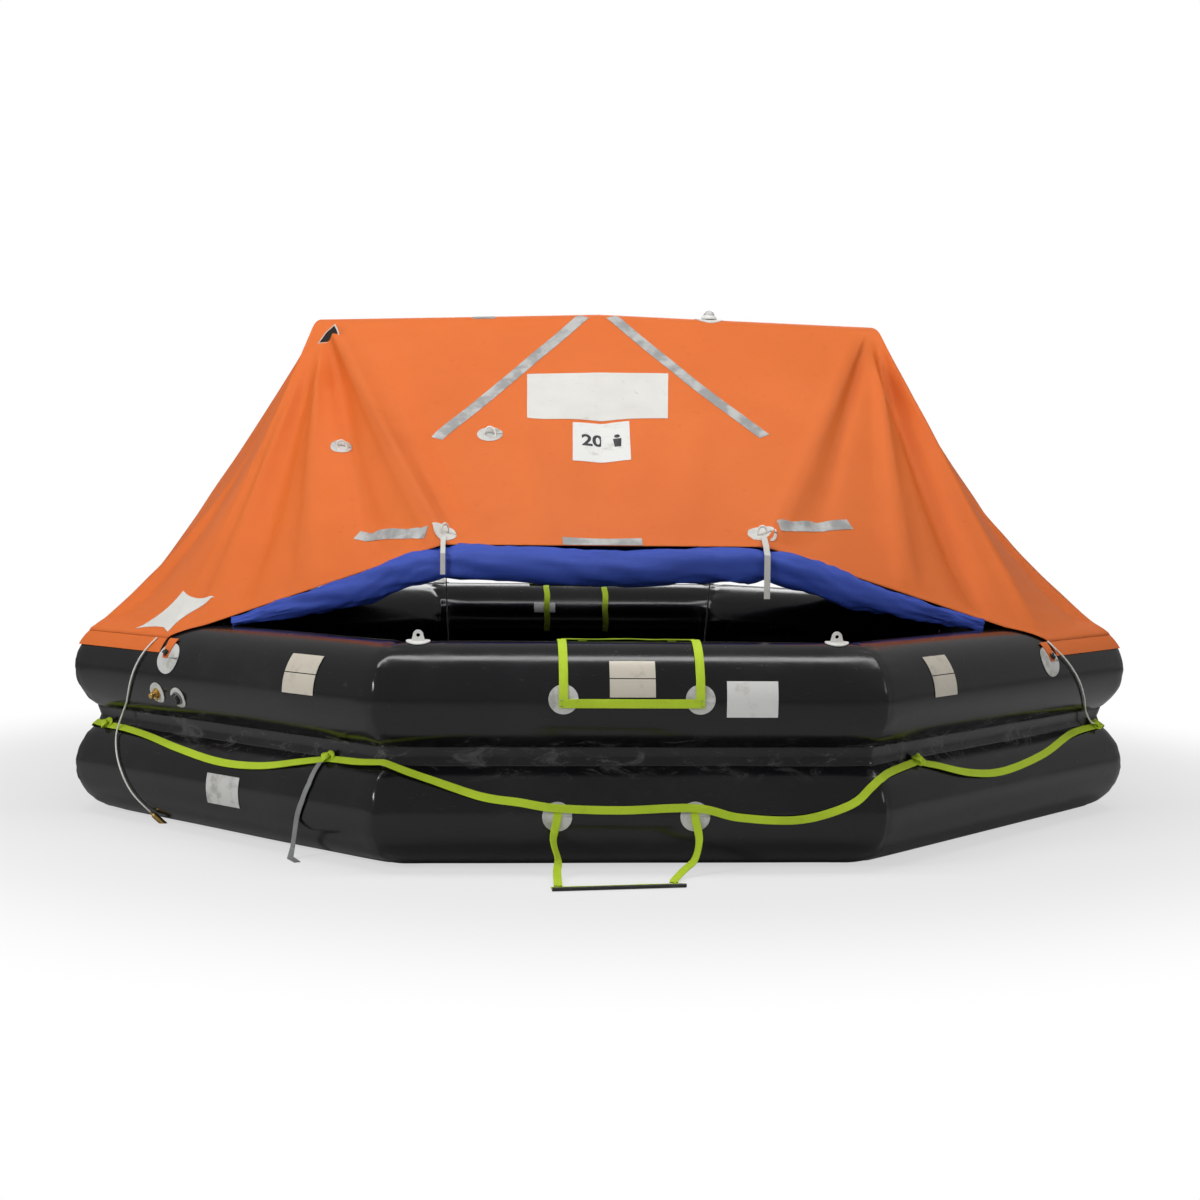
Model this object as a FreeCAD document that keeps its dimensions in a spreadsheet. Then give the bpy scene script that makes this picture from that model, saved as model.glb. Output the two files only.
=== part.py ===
import FreeCAD, Part
import math
import os

import Sketcher
from FreeCAD import Placement, Rotation, Vector

# Inflatable liferaft for twenty people, canopy up. Millimetres.
# Frame: X to the right seen from the front entrance, Y towards the rear, Z up.
# The origin is on the ground at the middle of the floor. The front entrance faces -Y.

doc = FreeCAD.newDocument("inflatable_liferaft")
sheet = doc.addObject("Spreadsheet::Sheet", "Sizes")

SIZES = [
    # buoyancy tubes: regular octagons, measured over their flats
    ("raft_width", 3750),
    ("tube_diameter", 345),
    ("tube_flat", 1.5),
    ("seat_gap", 0.3),
    ("band_outer_angle", 58),
    ("band_inner_angle", 76),
    # floor and the water pockets folded under it
    ("floor_thickness", 50),
    ("water_pocket_length", 520),
    ("water_pocket_width", 340),
    ("water_pocket_thickness", 12),
    ("water_pocket_reach", 880),
    # canopy arch and ridge
    ("arch_diameter", 200),
    ("arch_setback", 685.5),
    ("ridge_height", 1795),
    ("ridge_bow", 34),
    ("arch_leg_slope", 59.4),
    # canopy cloth
    ("cloth_thickness", 3),
    ("tie_left", 578),
    ("tie_right", 483),
    ("rear_tie", 600),
    ("tie_setback", 421.5),
    ("tie_height", 966),
    ("corner_along", 300),
    ("hem_angle", 46),
    ("skirt_low_angle", 27),
    ("corner_sag", 145),
    ("leg_sag", 20),
    ("front_sag", 26),
    ("gather_reach", 260),
    ("fold_room", 0.6),
    ("hem_room", 3),
    # tapes and patches on the canopy
    ("tape_width", 39),
    ("tape_thickness", 1.5),
    ("tie_patch_diameter", 92),
    # vent at the ridge's left end
    ("hood_width", 84),
    ("hood_depth", 44),
    # rolled doors
    ("door_roll_diameter", 92),
    ("door_end_diameter", 40),
    # webbing and its round patches
    ("webbing_width", 27),
    ("webbing_thickness", 3),
    ("patch_diameter", 90),
    ("patch_thickness", 2),
    ("handle_half_width", 206),
    ("ladder_half_width", 208),
    # boarding ladder, laid out on the ground
    ("step_length", 396),
    ("step_reach", 232),
    ("step_rod_diameter", 12),
    ("step_web_width", 40),
    # crown eyes
    ("eye_spacing", 644),
    ("eye_hole_diameter", 12),
    ("eye_plate_width", 32),
    ("eye_plate_thickness", 6),
    ("eye_base_diameter", 74),
    # valves
    ("valve_pad_diameter", 72),
    ("valve_body_diameter", 46),
    ("valve_cap_diameter", 38),
    ("valve_cap_height", 12),
    ("inlet_diameter", 24),
    # canopy light, sea cell and cords
    ("light_position", 432),
    ("light_pad_diameter", 112),
    ("light_base_diameter", 62),
    ("light_lens_diameter", 44),
    ("cell_diameter", 20),
    ("cell_length", 84),
    ("cable_diameter", 6),
    ("stay_diameter", 6),
]
for row, (alias, number) in enumerate(SIZES, 1):
    sheet.set(f"A{row}", alias)
    sheet.set(f"B{row}", str(number))
    sheet.setAlias(f"B{row}", alias)
doc.recompute()


class Size:
    # A number together with the sheet expression that gives it.
    def __init__(self, value, text):
        self.value = value
        self.text = text

    def __add__(self, other):
        other = as_size(other)
        return Size(self.value + other.value, f"({self.text} + {other.text})")

    def __sub__(self, other):
        other = as_size(other)
        return Size(self.value - other.value, f"({self.text} - {other.text})")

    def __mul__(self, other):
        other = as_size(other)
        return Size(self.value * other.value, f"({self.text} * {other.text})")

    def __truediv__(self, other):
        other = as_size(other)
        return Size(self.value / other.value, f"({self.text} / {other.text})")

    def __neg__(self):
        return self * -1


def as_size(thing):
    if isinstance(thing, Size):
        return thing
    return Size(float(thing), repr(float(thing)))


def size(alias):
    return Size(float(sheet.get(alias)), f"Sizes.{alias}")


def cosine(angle):
    return Size(math.cos(math.radians(angle.value)), f"cos({angle.text} * 1 deg)")


def sine(angle):
    return Size(math.sin(math.radians(angle.value)), f"sin({angle.text} * 1 deg)")


def bind(thing, name, amount):
    amount = as_size(amount)
    setattr(thing, name, amount.value)
    thing.setExpression(name, amount.text)


# Bodies, sketches and features

def new_body(label):
    body = doc.addObject("PartDesign::Body", label)
    body.Label = label
    return body


def origin_part(body, role):
    return [part for part in body.Origin.OriginFeatures if part.Role == role][0]


def new_sketch(body, plane, name, lift=None):
    sketch = body.newObject("Sketcher::SketchObject", name)
    sketch.AttachmentSupport = [(origin_part(body, plane), "")]
    sketch.MapMode = "FlatFace"
    if lift is not None:
        sketch.AttachmentOffset = Placement(Vector(0, 0, lift.value), Rotation())
        sketch.setExpression("AttachmentOffset.Base.z", lift.text)
    return sketch


def pin(sketch, edge, end, x, y):
    # Ties a vertex of the sketch to a place given from the sketch's origin.
    for kind, amount in (("DistanceX", x), ("DistanceY", y)):
        index = sketch.addConstraint(Sketcher.Constraint(kind, -1, 1, edge, end, amount.value))
        sketch.setExpression(f"Constraints[{index}]", amount.text)


def tie_radius(sketch, edge, radius):
    index = sketch.addConstraint(Sketcher.Constraint("Radius", edge, radius.value))
    sketch.setExpression(f"Constraints[{index}]", radius.text)


def draw_circle(sketch, x, y, radius):
    x, y, radius = as_size(x), as_size(y), as_size(radius)
    edge = sketch.addGeometry(Part.Circle(Vector(x.value, y.value, 0), Vector(0, 0, 1), radius.value))
    pin(sketch, edge, 3, x, y)
    tie_radius(sketch, edge, radius)


def draw_outline(sketch, corners, closed=True):
    # Each corner is (x, y), or (x, y, radius, side) where the edge that leaves it is an arc.
    # side is 1 with the centre on the left of the way drawn and -1 with it on the right.
    corners = [[as_size(value) for value in corner] for corner in corners]
    count = len(corners)
    starts = []
    for index in range(count if closed else count - 1):
        here = corners[index]
        there = corners[(index + 1) % count]
        first = Vector(here[0].value, here[1].value, 0)
        last = Vector(there[0].value, there[1].value, 0)
        if len(here) == 2:
            edge = sketch.addGeometry(Part.LineSegment(first, last))
            starts.append((edge, 1, 2))
            continue
        radius, side = here[2].value, here[3].value
        half = (last - first) * 0.5
        across = Vector(-half.y, half.x, 0).normalize()
        centre = first + half + across * side * math.sqrt(radius ** 2 - half.Length ** 2)
        low, high = (first, last) if side > 0 else (last, first)
        start = math.atan2(low.y - centre.y, low.x - centre.x)
        stop = math.atan2(high.y - centre.y, high.x - centre.x)
        circle = Part.Circle(centre, Vector(0, 0, 1), radius)
        edge = sketch.addGeometry(Part.ArcOfCircle(circle, start, stop))
        starts.append((edge, 1, 2) if side > 0 else (edge, 2, 1))
        tie_radius(sketch, edge, here[2])
    for index, (edge, start, stop) in enumerate(starts):
        pin(sketch, edge, start, corners[index][0], corners[index][1])
        if closed or index + 1 < len(starts):
            following = starts[(index + 1) % len(starts)]
            sketch.addConstraint(Sketcher.Constraint("Coincident", edge, stop, following[0], following[1]))
        else:
            pin(sketch, edge, stop, corners[-1][0], corners[-1][1])


def add_pad(body, sketch, name, length, both_ways=False, reverse=False):
    pad = body.newObject("PartDesign::Pad", name)
    pad.Profile = sketch
    pad.Midplane = both_ways
    pad.Reversed = reverse
    bind(pad, "Length", length)
    return pad


def add_pocket(body, sketch, name, length, both_ways=False, reverse=False):
    pocket = body.newObject("PartDesign::Pocket", name)
    pocket.Profile = sketch
    pocket.Midplane = both_ways
    pocket.Reversed = reverse
    bind(pocket, "Length", length)
    return pocket


def add_turned(body, name, outline):
    # A turned piece: (radius, height) corners swept round the body's Z axis.
    sketch = new_sketch(body, "XZ_Plane", f"{name}_section")
    draw_outline(sketch, outline)
    turned = body.newObject("PartDesign::Revolution", name)
    turned.Profile = sketch
    turned.ReferenceAxis = (origin_part(body, "Z_Axis"), [""])
    turned.Angle = 360
    return turned


def add_pipe(body, profile, spine, name, corners="Right corner"):
    pipe = body.newObject("PartDesign::AdditivePipe", name)
    pipe.Profile = profile
    pipe.Spine = spine
    pipe.Transition = corners
    return pipe


def piece(label, shape):
    node = doc.addObject("Part::Feature", label)
    node.Label = label
    node.Shape = shape
    return node


# Main lines of the raft

RAFT_SIDES = 8
HALF_SIDE = 180 / RAFT_SIDES
FRONT, FRONT_LEFT, LEFT, REAR_LEFT, REAR, REAR_RIGHT, RIGHT, FRONT_RIGHT = range(RAFT_SIDES)

tube_radius = size("tube_diameter") / 2
apothem = (size("raft_width") - size("tube_diameter")) / 2
lower_height = tube_radius - size("tube_flat")
joint_height = lower_height * 2
upper_height = lower_height * 3
arch_half = apothem - size("arch_setback")
tie_reach = apothem.value - size("tie_setback").value
gap = size("seat_gap").value
cloth = size("cloth_thickness").value


def side_frame(side):
    # Outward direction and the direction along a side, which runs to the right seen from outside.
    heading = math.radians(-90 - side * 45)
    outward = Vector(math.cos(heading), math.sin(heading), 0)
    return outward, Vector(-outward.y, outward.x, 0)


def tube_point(side, along, angle, height, lift=0.0):
    # A place on a tube's skin: angle is measured up from the tube's outer equator.
    outward, along_way = side_frame(side)
    turn = math.radians(angle)
    radial = outward * math.cos(turn) + Vector(0, 0, math.sin(turn))
    start = outward * apothem.value + Vector(0, 0, height.value)
    return start + along_way * along + radial * (tube_radius.value + lift)


def tube_seat(side, along, angle, height, lift=0.0):
    # A placement with Z out of the tube's skin and X along the tube.
    outward, along_way = side_frame(side)
    turn = math.radians(angle)
    radial = outward * math.cos(turn) + Vector(0, 0, math.sin(turn))
    rotation = Rotation(along_way, radial.cross(along_way), radial, "ZXY")
    return Placement(tube_point(side, along, angle, height, lift), rotation)


def tube_strip(side, alongs, angles, height, lift, thickness):
    # A strip of sheet bent round a tube between two places along it and two angles.
    outward, along_way = side_frame(side)
    centre = outward * apothem.value + Vector(0, 0, height.value)
    corners = []
    for reach, along in ((0, 0), (1, 0), (1, 1), (0, 1)):
        radius_lift = lift + reach * thickness
        corners.append(tube_point(side, alongs[along], angles[0], height, radius_lift))
    face = Part.Face(Part.makePolygon(corners + corners[:1]))
    return face.revolve(centre, along_way * -1, angles[1] - angles[0])


def tube_disc(side, along, angle, height, lift, thickness, diameter):
    # A round patch bent to the tube.
    spread = math.degrees(diameter / tube_radius.value)
    half = diameter
    alongs = (along - half, along + half)
    strip = tube_strip(side, alongs, (angle - spread, angle + spread), height, lift, thickness)
    seat = tube_seat(side, along, angle, height, -diameter / 2)
    punch = Part.makeCylinder(diameter / 2, diameter * 2)
    punch.Placement = seat
    return strip.common(punch)


def mitred_strip(sides, first_along, last_along, angles, height, lift, thickness):
    # A strip that follows the tube round its corners, from a place on the first side to one on the last.
    long = size("raft_width").value
    parts = []
    for index, side in enumerate(sides):
        start = first_along if index == 0 else -long / 2
        stop = last_along if index == len(sides) - 1 else long / 2
        strip = tube_strip(side, (start, stop), angles, height, lift, thickness)
        outward, along_way = side_frame(side)
        spread = long * math.tan(math.radians(HALF_SIDE))
        corners = [Vector(0, 0, 0), outward * long - along_way * spread, outward * long + along_way * spread]
        wedge = Part.Face(Part.makePolygon(corners + corners[:1])).extrude(Vector(0, 0, long))
        parts.append(strip.common(wedge))
    return parts[0].multiFuse(parts[1:]).removeSplitter()


# Buoyancy tubes

def octagon_path(body, name, height):
    path = new_sketch(body, "XY_Plane", name, height)
    corners = [(as_size(0), apothem)]
    for index in range(RAFT_SIDES):
        heading = as_size(90 + HALF_SIDE + 45 * index)
        reach = apothem / cosine(as_size(HALF_SIDE))
        corners.append((reach * cosine(heading), reach * sine(heading)))
    draw_outline(path, corners)
    return path


def add_tube_flat(body, name, height, above):
    # Presses the tube flat where it meets the ground or the other tube.
    cutter = new_sketch(body, "XY_Plane", f"{name}_area", height)
    draw_circle(cutter, 0, 0, size("raft_width"))
    add_pocket(body, cutter, name, size("tube_diameter"), reverse=above)


def buoyancy_tube(label, height):
    body = new_body(label)
    path = octagon_path(body, "tube_path", height)
    section = new_sketch(body, "YZ_Plane", "tube_section")
    draw_circle(section, apothem, height, tube_radius)
    add_pipe(body, section, path, "tube")
    return body


lower_tube = buoyancy_tube("lower_buoyancy_tube", lower_height)
add_tube_flat(lower_tube, "ground_flat", as_size(0), above=False)
add_tube_flat(lower_tube, "joint_flat", joint_height, above=True)
upper_tube = buoyancy_tube("upper_buoyancy_tube", upper_height)
add_tube_flat(upper_tube, "joint_flat", joint_height, above=False)


def joining_band(label, way):
    # The band that fills the groove between the tubes, way 1 outside and -1 inside the ring.
    body = new_body(label)
    path = octagon_path(body, "band_path", joint_height)
    section = new_sketch(body, "YZ_Plane", "band_section")
    skin = tube_radius + size("seat_gap")
    outer = size("band_outer_angle")
    inner = size("band_inner_angle")
    near = apothem + skin * cosine(inner) * way
    far = apothem + skin * cosine(outer) * way
    low = (lower_height + skin * sine(inner), lower_height + skin * sine(outer))
    high = (upper_height - skin * sine(inner), upper_height - skin * sine(outer))
    first, last = (low, high) if way > 0 else (high, low)
    draw_outline(section, [
        (near, first[0], skin, -1),
        (far, first[1], tube_radius / 3, -1),
        (far, last[1], skin, -1),
        (near, last[0]),
    ])
    add_pipe(body, section, path, "band")
    return body


joining_band("outer_joining_band", 1)
joining_band("inner_joining_band", -1)


# Floor and water pockets

def raft_floor():
    body = new_body("inflatable_floor")
    thickness = size("floor_thickness")
    rise = lower_height - thickness
    skin = tube_radius + size("seat_gap")
    inset = Size(math.sqrt(skin.value ** 2 - rise.value ** 2), f"sqrt({skin.text} ^ 2 - {rise.text} ^ 2)")
    rim = apothem - inset
    slope = rise / inset
    area = new_sketch(body, "XY_Plane", "floor_outline", thickness)
    corners = []
    for index in range(RAFT_SIDES):
        heading = as_size(HALF_SIDE + 45 * index)
        reach = rim / cosine(as_size(HALF_SIDE))
        corners.append((reach * cosine(heading), reach * sine(heading)))
    draw_outline(area, corners)
    pad = add_pad(body, area, "floor", thickness, reverse=True)
    pad.TaperAngle = math.degrees(math.atan(slope.value))
    pad.setExpression("TaperAngle", f"atan({slope.text})")
    recess = new_sketch(body, "XY_Plane", "pocket_recess_outline")
    clearance = size("seat_gap")
    half_length = size("water_pocket_length") / 2 + clearance
    half_width = size("water_pocket_width") / 2 + clearance
    middle = size("water_pocket_reach")
    draw_outline(recess, [
        (-half_length, middle - half_width),
        (half_length, middle - half_width),
        (half_length, middle + half_width),
        (-half_length, middle + half_width),
    ])
    cut = add_pocket(body, recess, "pocket_recess", size("water_pocket_thickness") + clearance, reverse=True)
    doc.recompute()
    ring = body.newObject("PartDesign::PolarPattern", "pocket_recesses")
    ring.Originals = [cut]
    ring.Axis = (origin_part(body, "Z_Axis"), [""])
    ring.Angle = 360
    ring.Occurrences = 4
    body.Tip = ring
    return body


raft_floor()


def water_pockets():
    length = size("water_pocket_length").value
    width = size("water_pocket_width").value
    thick = size("water_pocket_thickness").value
    middle = size("water_pocket_reach").value
    bags = []
    for turn in range(4):
        bag = Part.makeBox(length, width, thick, Vector(-length / 2, middle - width / 2, 0))
        bag = bag.makeFillet(thick / 3, [edge for edge in bag.Edges if edge.BoundBox.ZMin > thick / 2])
        bag.rotate(Vector(0, 0, 0), Vector(0, 0, 1), 90 * turn)
        bags.append(bag)
    return piece("water_pockets", Part.Compound(bags))


water_pockets()


# Canopy arch

arch_radius = size("arch_diameter") / 2
arch_height = size("ridge_height") - size("cloth_thickness") - size("seat_gap") - arch_radius
leg_slope = size("arch_leg_slope")
leg_run = (arch_height - upper_height) * cosine(leg_slope) / sine(leg_slope)
ARCH_HALF = [
    (as_size(0), arch_height + size("ridge_bow")),
    (arch_half, arch_height),
    (arch_half + leg_run, upper_height),
]


def arch_tube():
    body = new_body("canopy_arch_tube")
    path = new_sketch(body, "XZ_Plane", "arch_path")
    draw_outline(path, ARCH_HALF, closed=False)
    section = new_sketch(body, "YZ_Plane", "arch_section")
    draw_circle(section, 0, ARCH_HALF[0][1], arch_radius)
    half = add_pipe(body, section, path, "arch_half", "Round corner")
    doc.recompute()
    both = body.newObject("PartDesign::Mirrored", "arch")
    both.Originals = [half]
    both.MirrorPlane = (origin_part(body, "YZ_Plane"), [""])
    body.Tip = both
    feet = new_sketch(body, "XZ_Plane", "foot_seats")
    for way in (-1, 1):
        draw_circle(feet, apothem * way, upper_height, tube_radius + size("seat_gap"))
    add_pocket(body, feet, "foot_seat", size("raft_width") * 2, both_ways=True)
    return body


arch_tube()


# Canopy cloth: every panel is a sheet hung from the ridge to the door edges and the hem.
# It lies on the arch and on the upper tube where they are in its way.

wrap_radius = arch_radius.value + gap + cloth + size("fold_room").value


def ridge_point(across):
    # The top of the cloth over the arch; across runs from -1 at the left end to 1 at the right.
    corner = arch_half.value + arch_radius.value * math.tan(math.radians(leg_slope.value / 2))
    rise = size("ridge_bow").value * (1 - abs(across))
    return Vector(corner * across, 0, size("ridge_height").value + rise)


def pushed_out(point):
    # Moves a place on the cloth's outer face out of the arch and out of the upper tube.
    keep = wrap_radius
    way = -1 if point.x < 0 else 1
    line = [Vector(x.value * way, 0, z.value) for x, z in ARCH_HALF]
    for first, last in zip(line, line[1:]):
        run = last - first
        share = max(0.0, min(1.0, (point - first).dot(run) / run.dot(run)))
        nearest = first + run * share
        off = point - nearest
        if 0 < off.Length < keep:
            point = nearest + off * (keep / off.Length)
    keep = tube_radius.value + gap + cloth + size("hem_room").value
    side = max(range(RAFT_SIDES), key=lambda index: side_frame(index)[0].dot(point))
    outward, along_way = side_frame(side)
    off = Vector(outward.dot(point) - apothem.value, point.z - upper_height.value, 0)
    if 0 < off.Length < keep:
        off = off * (keep / off.Length)
        flat = along_way * along_way.dot(point) + outward * (apothem.value + off.x)
        point = Vector(flat.x, flat.y, upper_height.value + off.y)
    return point


def hung(top, bottom, share, sag):
    point = top + (bottom - top) * share
    return pushed_out(point - Vector(0, 0, sag * 4 * share * (1 - share)))


def wrapped(top, bottom, share, sag):
    # A place on a column that starts along the top of the arch, leaves it and hangs to the bottom.
    radius = wrap_radius
    centre = top.z - radius
    reach = abs(bottom.y)
    drop = bottom.z - centre
    far = math.hypot(reach, drop)
    wrap = math.atan2(reach, drop) - math.acos(radius / far)
    straight = math.sqrt(far ** 2 - radius ** 2)
    travel = share * (radius * wrap + straight)
    if travel < radius * wrap:
        across, rise = radius * math.sin(travel / radius), radius * math.cos(travel / radius)
    else:
        part = (travel - radius * wrap) / straight
        across = radius * math.sin(wrap) * (1 - part) + reach * part
        rise = radius * math.cos(wrap) * (1 - part) + drop * part - sag * 4 * part * (1 - part)
    over = top.x + (bottom.x - top.x) * across / reach
    return pushed_out(Vector(over, across * (1 if bottom.y > 0 else -1), centre + rise))


def spaced(first, last, count):
    return [first + (last - first) * index / count for index in range(count + 1)]


def corner_point(side, way):
    # Where a front or rear panel is pinned to the tube; way is 1 at the right end of the side.
    return tube_point(side, size("corner_along").value * way, size("hem_angle").value, upper_height, gap + cloth)


def tie_point(across, rear):
    way = 1 if rear else -1
    return Vector(across, tie_reach * way, size("tie_height").value)


def end_columns(rear):
    # Pairs of top and bottom places across a front or rear panel, from left to right.
    if rear:
        left, right = -size("rear_tie").value, size("rear_tie").value
        corners = (corner_point(REAR_LEFT, 1), corner_point(REAR_RIGHT, -1))
    else:
        left, right = -size("tie_left").value, size("tie_right").value
        corners = (corner_point(FRONT_LEFT, -1), corner_point(FRONT_RIGHT, 1))
    ties = (tie_point(left, rear), tie_point(right, rear))
    edges = (0, 0.03, 0.06, 0.1, 0.15, 0.25, 0.45, 0.7)
    columns = [(ridge_point(-1), corners[0] + (ties[0] - corners[0]) * share) for share in edges]
    for share in spaced(0.0, 1.0, 6):
        columns.append((ridge_point(share * 2 - 1), ties[0] + (ties[1] - ties[0]) * share))
    columns += [(ridge_point(1), corners[1] + (ties[1] - corners[1]) * share) for share in reversed(edges)]
    return columns


def skin_corner(angle):
    # How far along a side the tube's corner lies, at an angle above the equator.
    radial = apothem.value + (tube_radius.value + gap + cloth) * math.cos(math.radians(angle))
    return radial * math.tan(math.radians(HALF_SIDE))


def side_columns(way):
    # (share from seam to seam, top, bottom) round a side panel, way -1 left and 1 right, front to rear.
    along = size("corner_along").value
    half = skin_corner(size("hem_angle").value)
    corner = [half - 70, half - 42, half - 20, half]
    first = spaced(along, half - 70, 3)[:-1] + corner
    middle = [28 - half] + spaced(-half, half, 12)[1:-1] + [half - 28, half]
    last = [-place for place in reversed(first[:-1])]
    sides = (FRONT_LEFT, LEFT, REAR_LEFT) if way < 0 else (FRONT_RIGHT, RIGHT, REAR_RIGHT)
    hem = [(0.25 * (place - along) / (half - along), sides[0], place) for place in first]
    hem += [(0.5 + 0.25 * place / half, sides[1], place) for place in middle]
    hem += [(1 - 0.25 * (-place - along) / (half - along), sides[2], place) for place in last]
    columns = []
    for share, side, place in hem:
        # the cloth stands off a little further where it turns the tube's corners
        lift = gap + cloth + (1 if round(abs(place) - half, 3) == 0 else 0)
        angle = size("hem_angle").value
        columns.append((share, ridge_point(way), tube_point(side, place * way, angle, upper_height, lift)))
    return columns


def place_key(point):
    return (round(point.x, 2), round(point.y, 2), round(point.z, 2))


def sheet_faces(grid):
    # Two triangles for each cell of a grid of places, wound to face away from the raft's middle.
    # Each cell is split along whichever diagonal stands further out.
    faces = []
    for upper, lower in zip(grid, grid[1:]):
        for column in range(len(upper) - 1):
            ring = [upper[column], lower[column], lower[column + 1], upper[column + 1]]
            first, second = [((ring[turn] + ring[turn + 2]) * 0.5 - RAFT_MIDDLE).Length for turn in (0, 1)]
            ring = ring if first >= second else ring[1:] + ring[:1]
            for triple in ((ring[0], ring[1], ring[2]), (ring[0], ring[2], ring[3])):
                normal = (triple[1] - triple[0]).cross(triple[2] - triple[0])
                if normal.Length < 1:
                    continue
                away = (triple[0] + triple[1] + triple[2]) * (1 / 3) - RAFT_MIDDLE
                faces.append(triple if normal.dot(away) > 0 else (triple[0], triple[2], triple[1]))
    return faces


def add_normals(normals, faces):
    for face in faces:
        normal = (face[1] - face[0]).cross(face[2] - face[0])
        for point in face:
            key = place_key(point)
            normals[key] = normals.get(key, Vector(0, 0, 0)) + normal


def gathered(point):
    # How much of the cloth's thickness is left where the panels run together at the ridge's ends.
    away = min((point - ridge_point(way)).Length for way in (-1, 1))
    return min(1, 0.04 + away / size("gather_reach").value)


def sheet_solid(faces, normals, outside, inside):
    # A closed sheet between two distances from its faces, measured along the normals at its corners.
    numbers = {}
    outer = []
    inner = []
    skin = []
    for face in faces:
        for point in face:
            key = place_key(point)
            if key not in numbers:
                normal = Vector(normals[key]).normalize()
                numbers[key] = len(outer)
                outer.append(point + normal * outside)
                inner.append(point - normal * (inside * gathered(point)))
    count = len(outer)
    rings = [tuple(numbers[place_key(point)] for point in face) for face in faces]
    edges = {(ring[turn], ring[(turn + 1) % 3]) for ring in rings for turn in range(3)}
    for a, b, c in rings:
        skin += [(a, b, c), (a + count, c + count, b + count)]
    for a, b in edges:
        if (b, a) in edges:
            continue
        if place_key(outer[a]) < place_key(outer[b]):
            skin += [(b, a, b + count), (a, a + count, b + count)]
        else:
            skin += [(b, a, a + count), (b, a + count, b + count)]
    shape = Part.Shape()
    shape.makeShapeFromMesh((outer + inner, skin), 0.001)
    return Part.Solid(shape)


ROWS = [0, 0.0136, 0.0271, 0.0406, 0.07, 0.11, 0.17, 0.25, 0.36, 0.48, 0.6, 0.71, 0.8, 0.865, 0.9, 0.92,
        0.935, 0.95, 0.965, 0.98, 1]
RAFT_MIDDLE = Vector(0, 0, upper_height.value)


def end_grid(rear):
    sag = size("front_sag").value
    columns = end_columns(rear)
    grid = [[wrapped(top, bottom, share, sag) for top, bottom in columns] for share in ROWS]
    grid[-1][0] = columns[0][1]
    grid[-1][-1] = columns[-1][1]
    return grid


def side_sag(share):
    # Taut along both seams and over the arch, slack between them; share runs from seam to seam.
    seam = size("front_sag").value
    base = seam + (size("leg_sag").value - seam) * math.sin(math.pi * share) ** 2
    return base + (size("corner_sag").value - base) * math.sin(math.pi * 2 * share) ** 2


FRONT_GRID = end_grid(rear=False)
REAR_GRID = end_grid(rear=True)


def side_grid(way):
    # Both edges are sewn to the front and rear panels.
    seam = 0 if way < 0 else -1
    columns = side_columns(way)
    grid = []
    for index, share in enumerate(ROWS):
        row = [hung(top, bottom, share, side_sag(turn)) for turn, top, bottom in columns]
        if share == 1:
            row = [bottom for turn, top, bottom in columns]
        row[0] = FRONT_GRID[index][seam]
        row[-1] = REAR_GRID[index][seam]
        grid.append(row)
    return grid


LEFT_GRID = side_grid(-1)
RIGHT_GRID = side_grid(1)
CANOPY_PANELS = {
    "front_canopy_panel": sheet_faces(FRONT_GRID),
    "rear_canopy_panel": sheet_faces(REAR_GRID),
    "left_canopy_panel": sheet_faces(LEFT_GRID),
    "right_canopy_panel": sheet_faces(RIGHT_GRID),
}
CANOPY_NORMALS = {}
for panel_faces in CANOPY_PANELS.values():
    add_normals(CANOPY_NORMALS, panel_faces)


def drawn_back(grid, normals):
    # The same grid with both seam edges drawn back by half a gap from the end panels.
    moved = []
    for row in grid:
        ends = []
        for edge, inner in ((row[0], row[1]), (row[-1], row[-2])):
            run = inner - edge
            place = edge + run * (gap / 2 / run.Length) if run.Length > 1 else edge
            normals[place_key(place)] = normals[place_key(edge)]
            ends.append(place)
        moved.append([ends[0]] + row[1:-1] + [ends[1]])
    return moved


for label in ("front_canopy_panel", "rear_canopy_panel"):
    piece(label, sheet_solid(CANOPY_PANELS[label], CANOPY_NORMALS, 0, cloth))
for label, grid in (("left_canopy_panel", LEFT_GRID), ("right_canopy_panel", RIGHT_GRID)):
    side_faces = sheet_faces(drawn_back(grid, CANOPY_NORMALS))
    piece(label, sheet_solid(side_faces, CANOPY_NORMALS, 0, cloth))


# Tapes, patches and labels glued on the canopy. Each is drawn as it is seen square to one side,
# by (distance along that side, height) with its corners turning left, and lies on the cloth's facets.

def clipped(ring, first, last, along_way):
    # The part of a ring of (place, normal) that lies to the left of a line.
    depths = []
    for place, normal in ring:
        rise = (last[0] - first[0]) * (place.z - first[1])
        depths.append(rise - (last[1] - first[1]) * (along_way.dot(place) - first[0]))
    kept = []
    for index, (place, normal) in enumerate(ring):
        before, before_normal = ring[index - 1]
        if (depths[index] > 0) != (depths[index - 1] > 0):
            share = depths[index - 1] / (depths[index - 1] - depths[index])
            turned = before_normal + (normal - before_normal) * share
            kept.append((before + (place - before) * share, turned))
        if depths[index] > 0:
            kept.append((place, normal))
    return kept


def cloth_patch(side, outline, thickness, panels=("front_canopy_panel",)):
    outward, along_way = side_frame(side)
    faces = []
    normals = {}
    for face in [face for label in panels for face in CANOPY_PANELS[label]]:
        ring = [(place, Vector(CANOPY_NORMALS[place_key(place)]).normalize()) for place in face]
        if sum(normal.dot(outward) for place, normal in ring) <= 0:
            continue
        for first, last in zip(outline, outline[1:] + outline[:1]):
            ring = clipped(ring, first, last, along_way)
        for index in range(1, len(ring) - 1):
            triple = (ring[0], ring[index], ring[index + 1])
            if len({place_key(place) for place, normal in triple}) < 3:
                continue
            faces.append(tuple(place for place, normal in triple))
            normals.update((place_key(place), normal) for place, normal in triple)
    return sheet_solid(faces, normals, gap + thickness, -gap)


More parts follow.
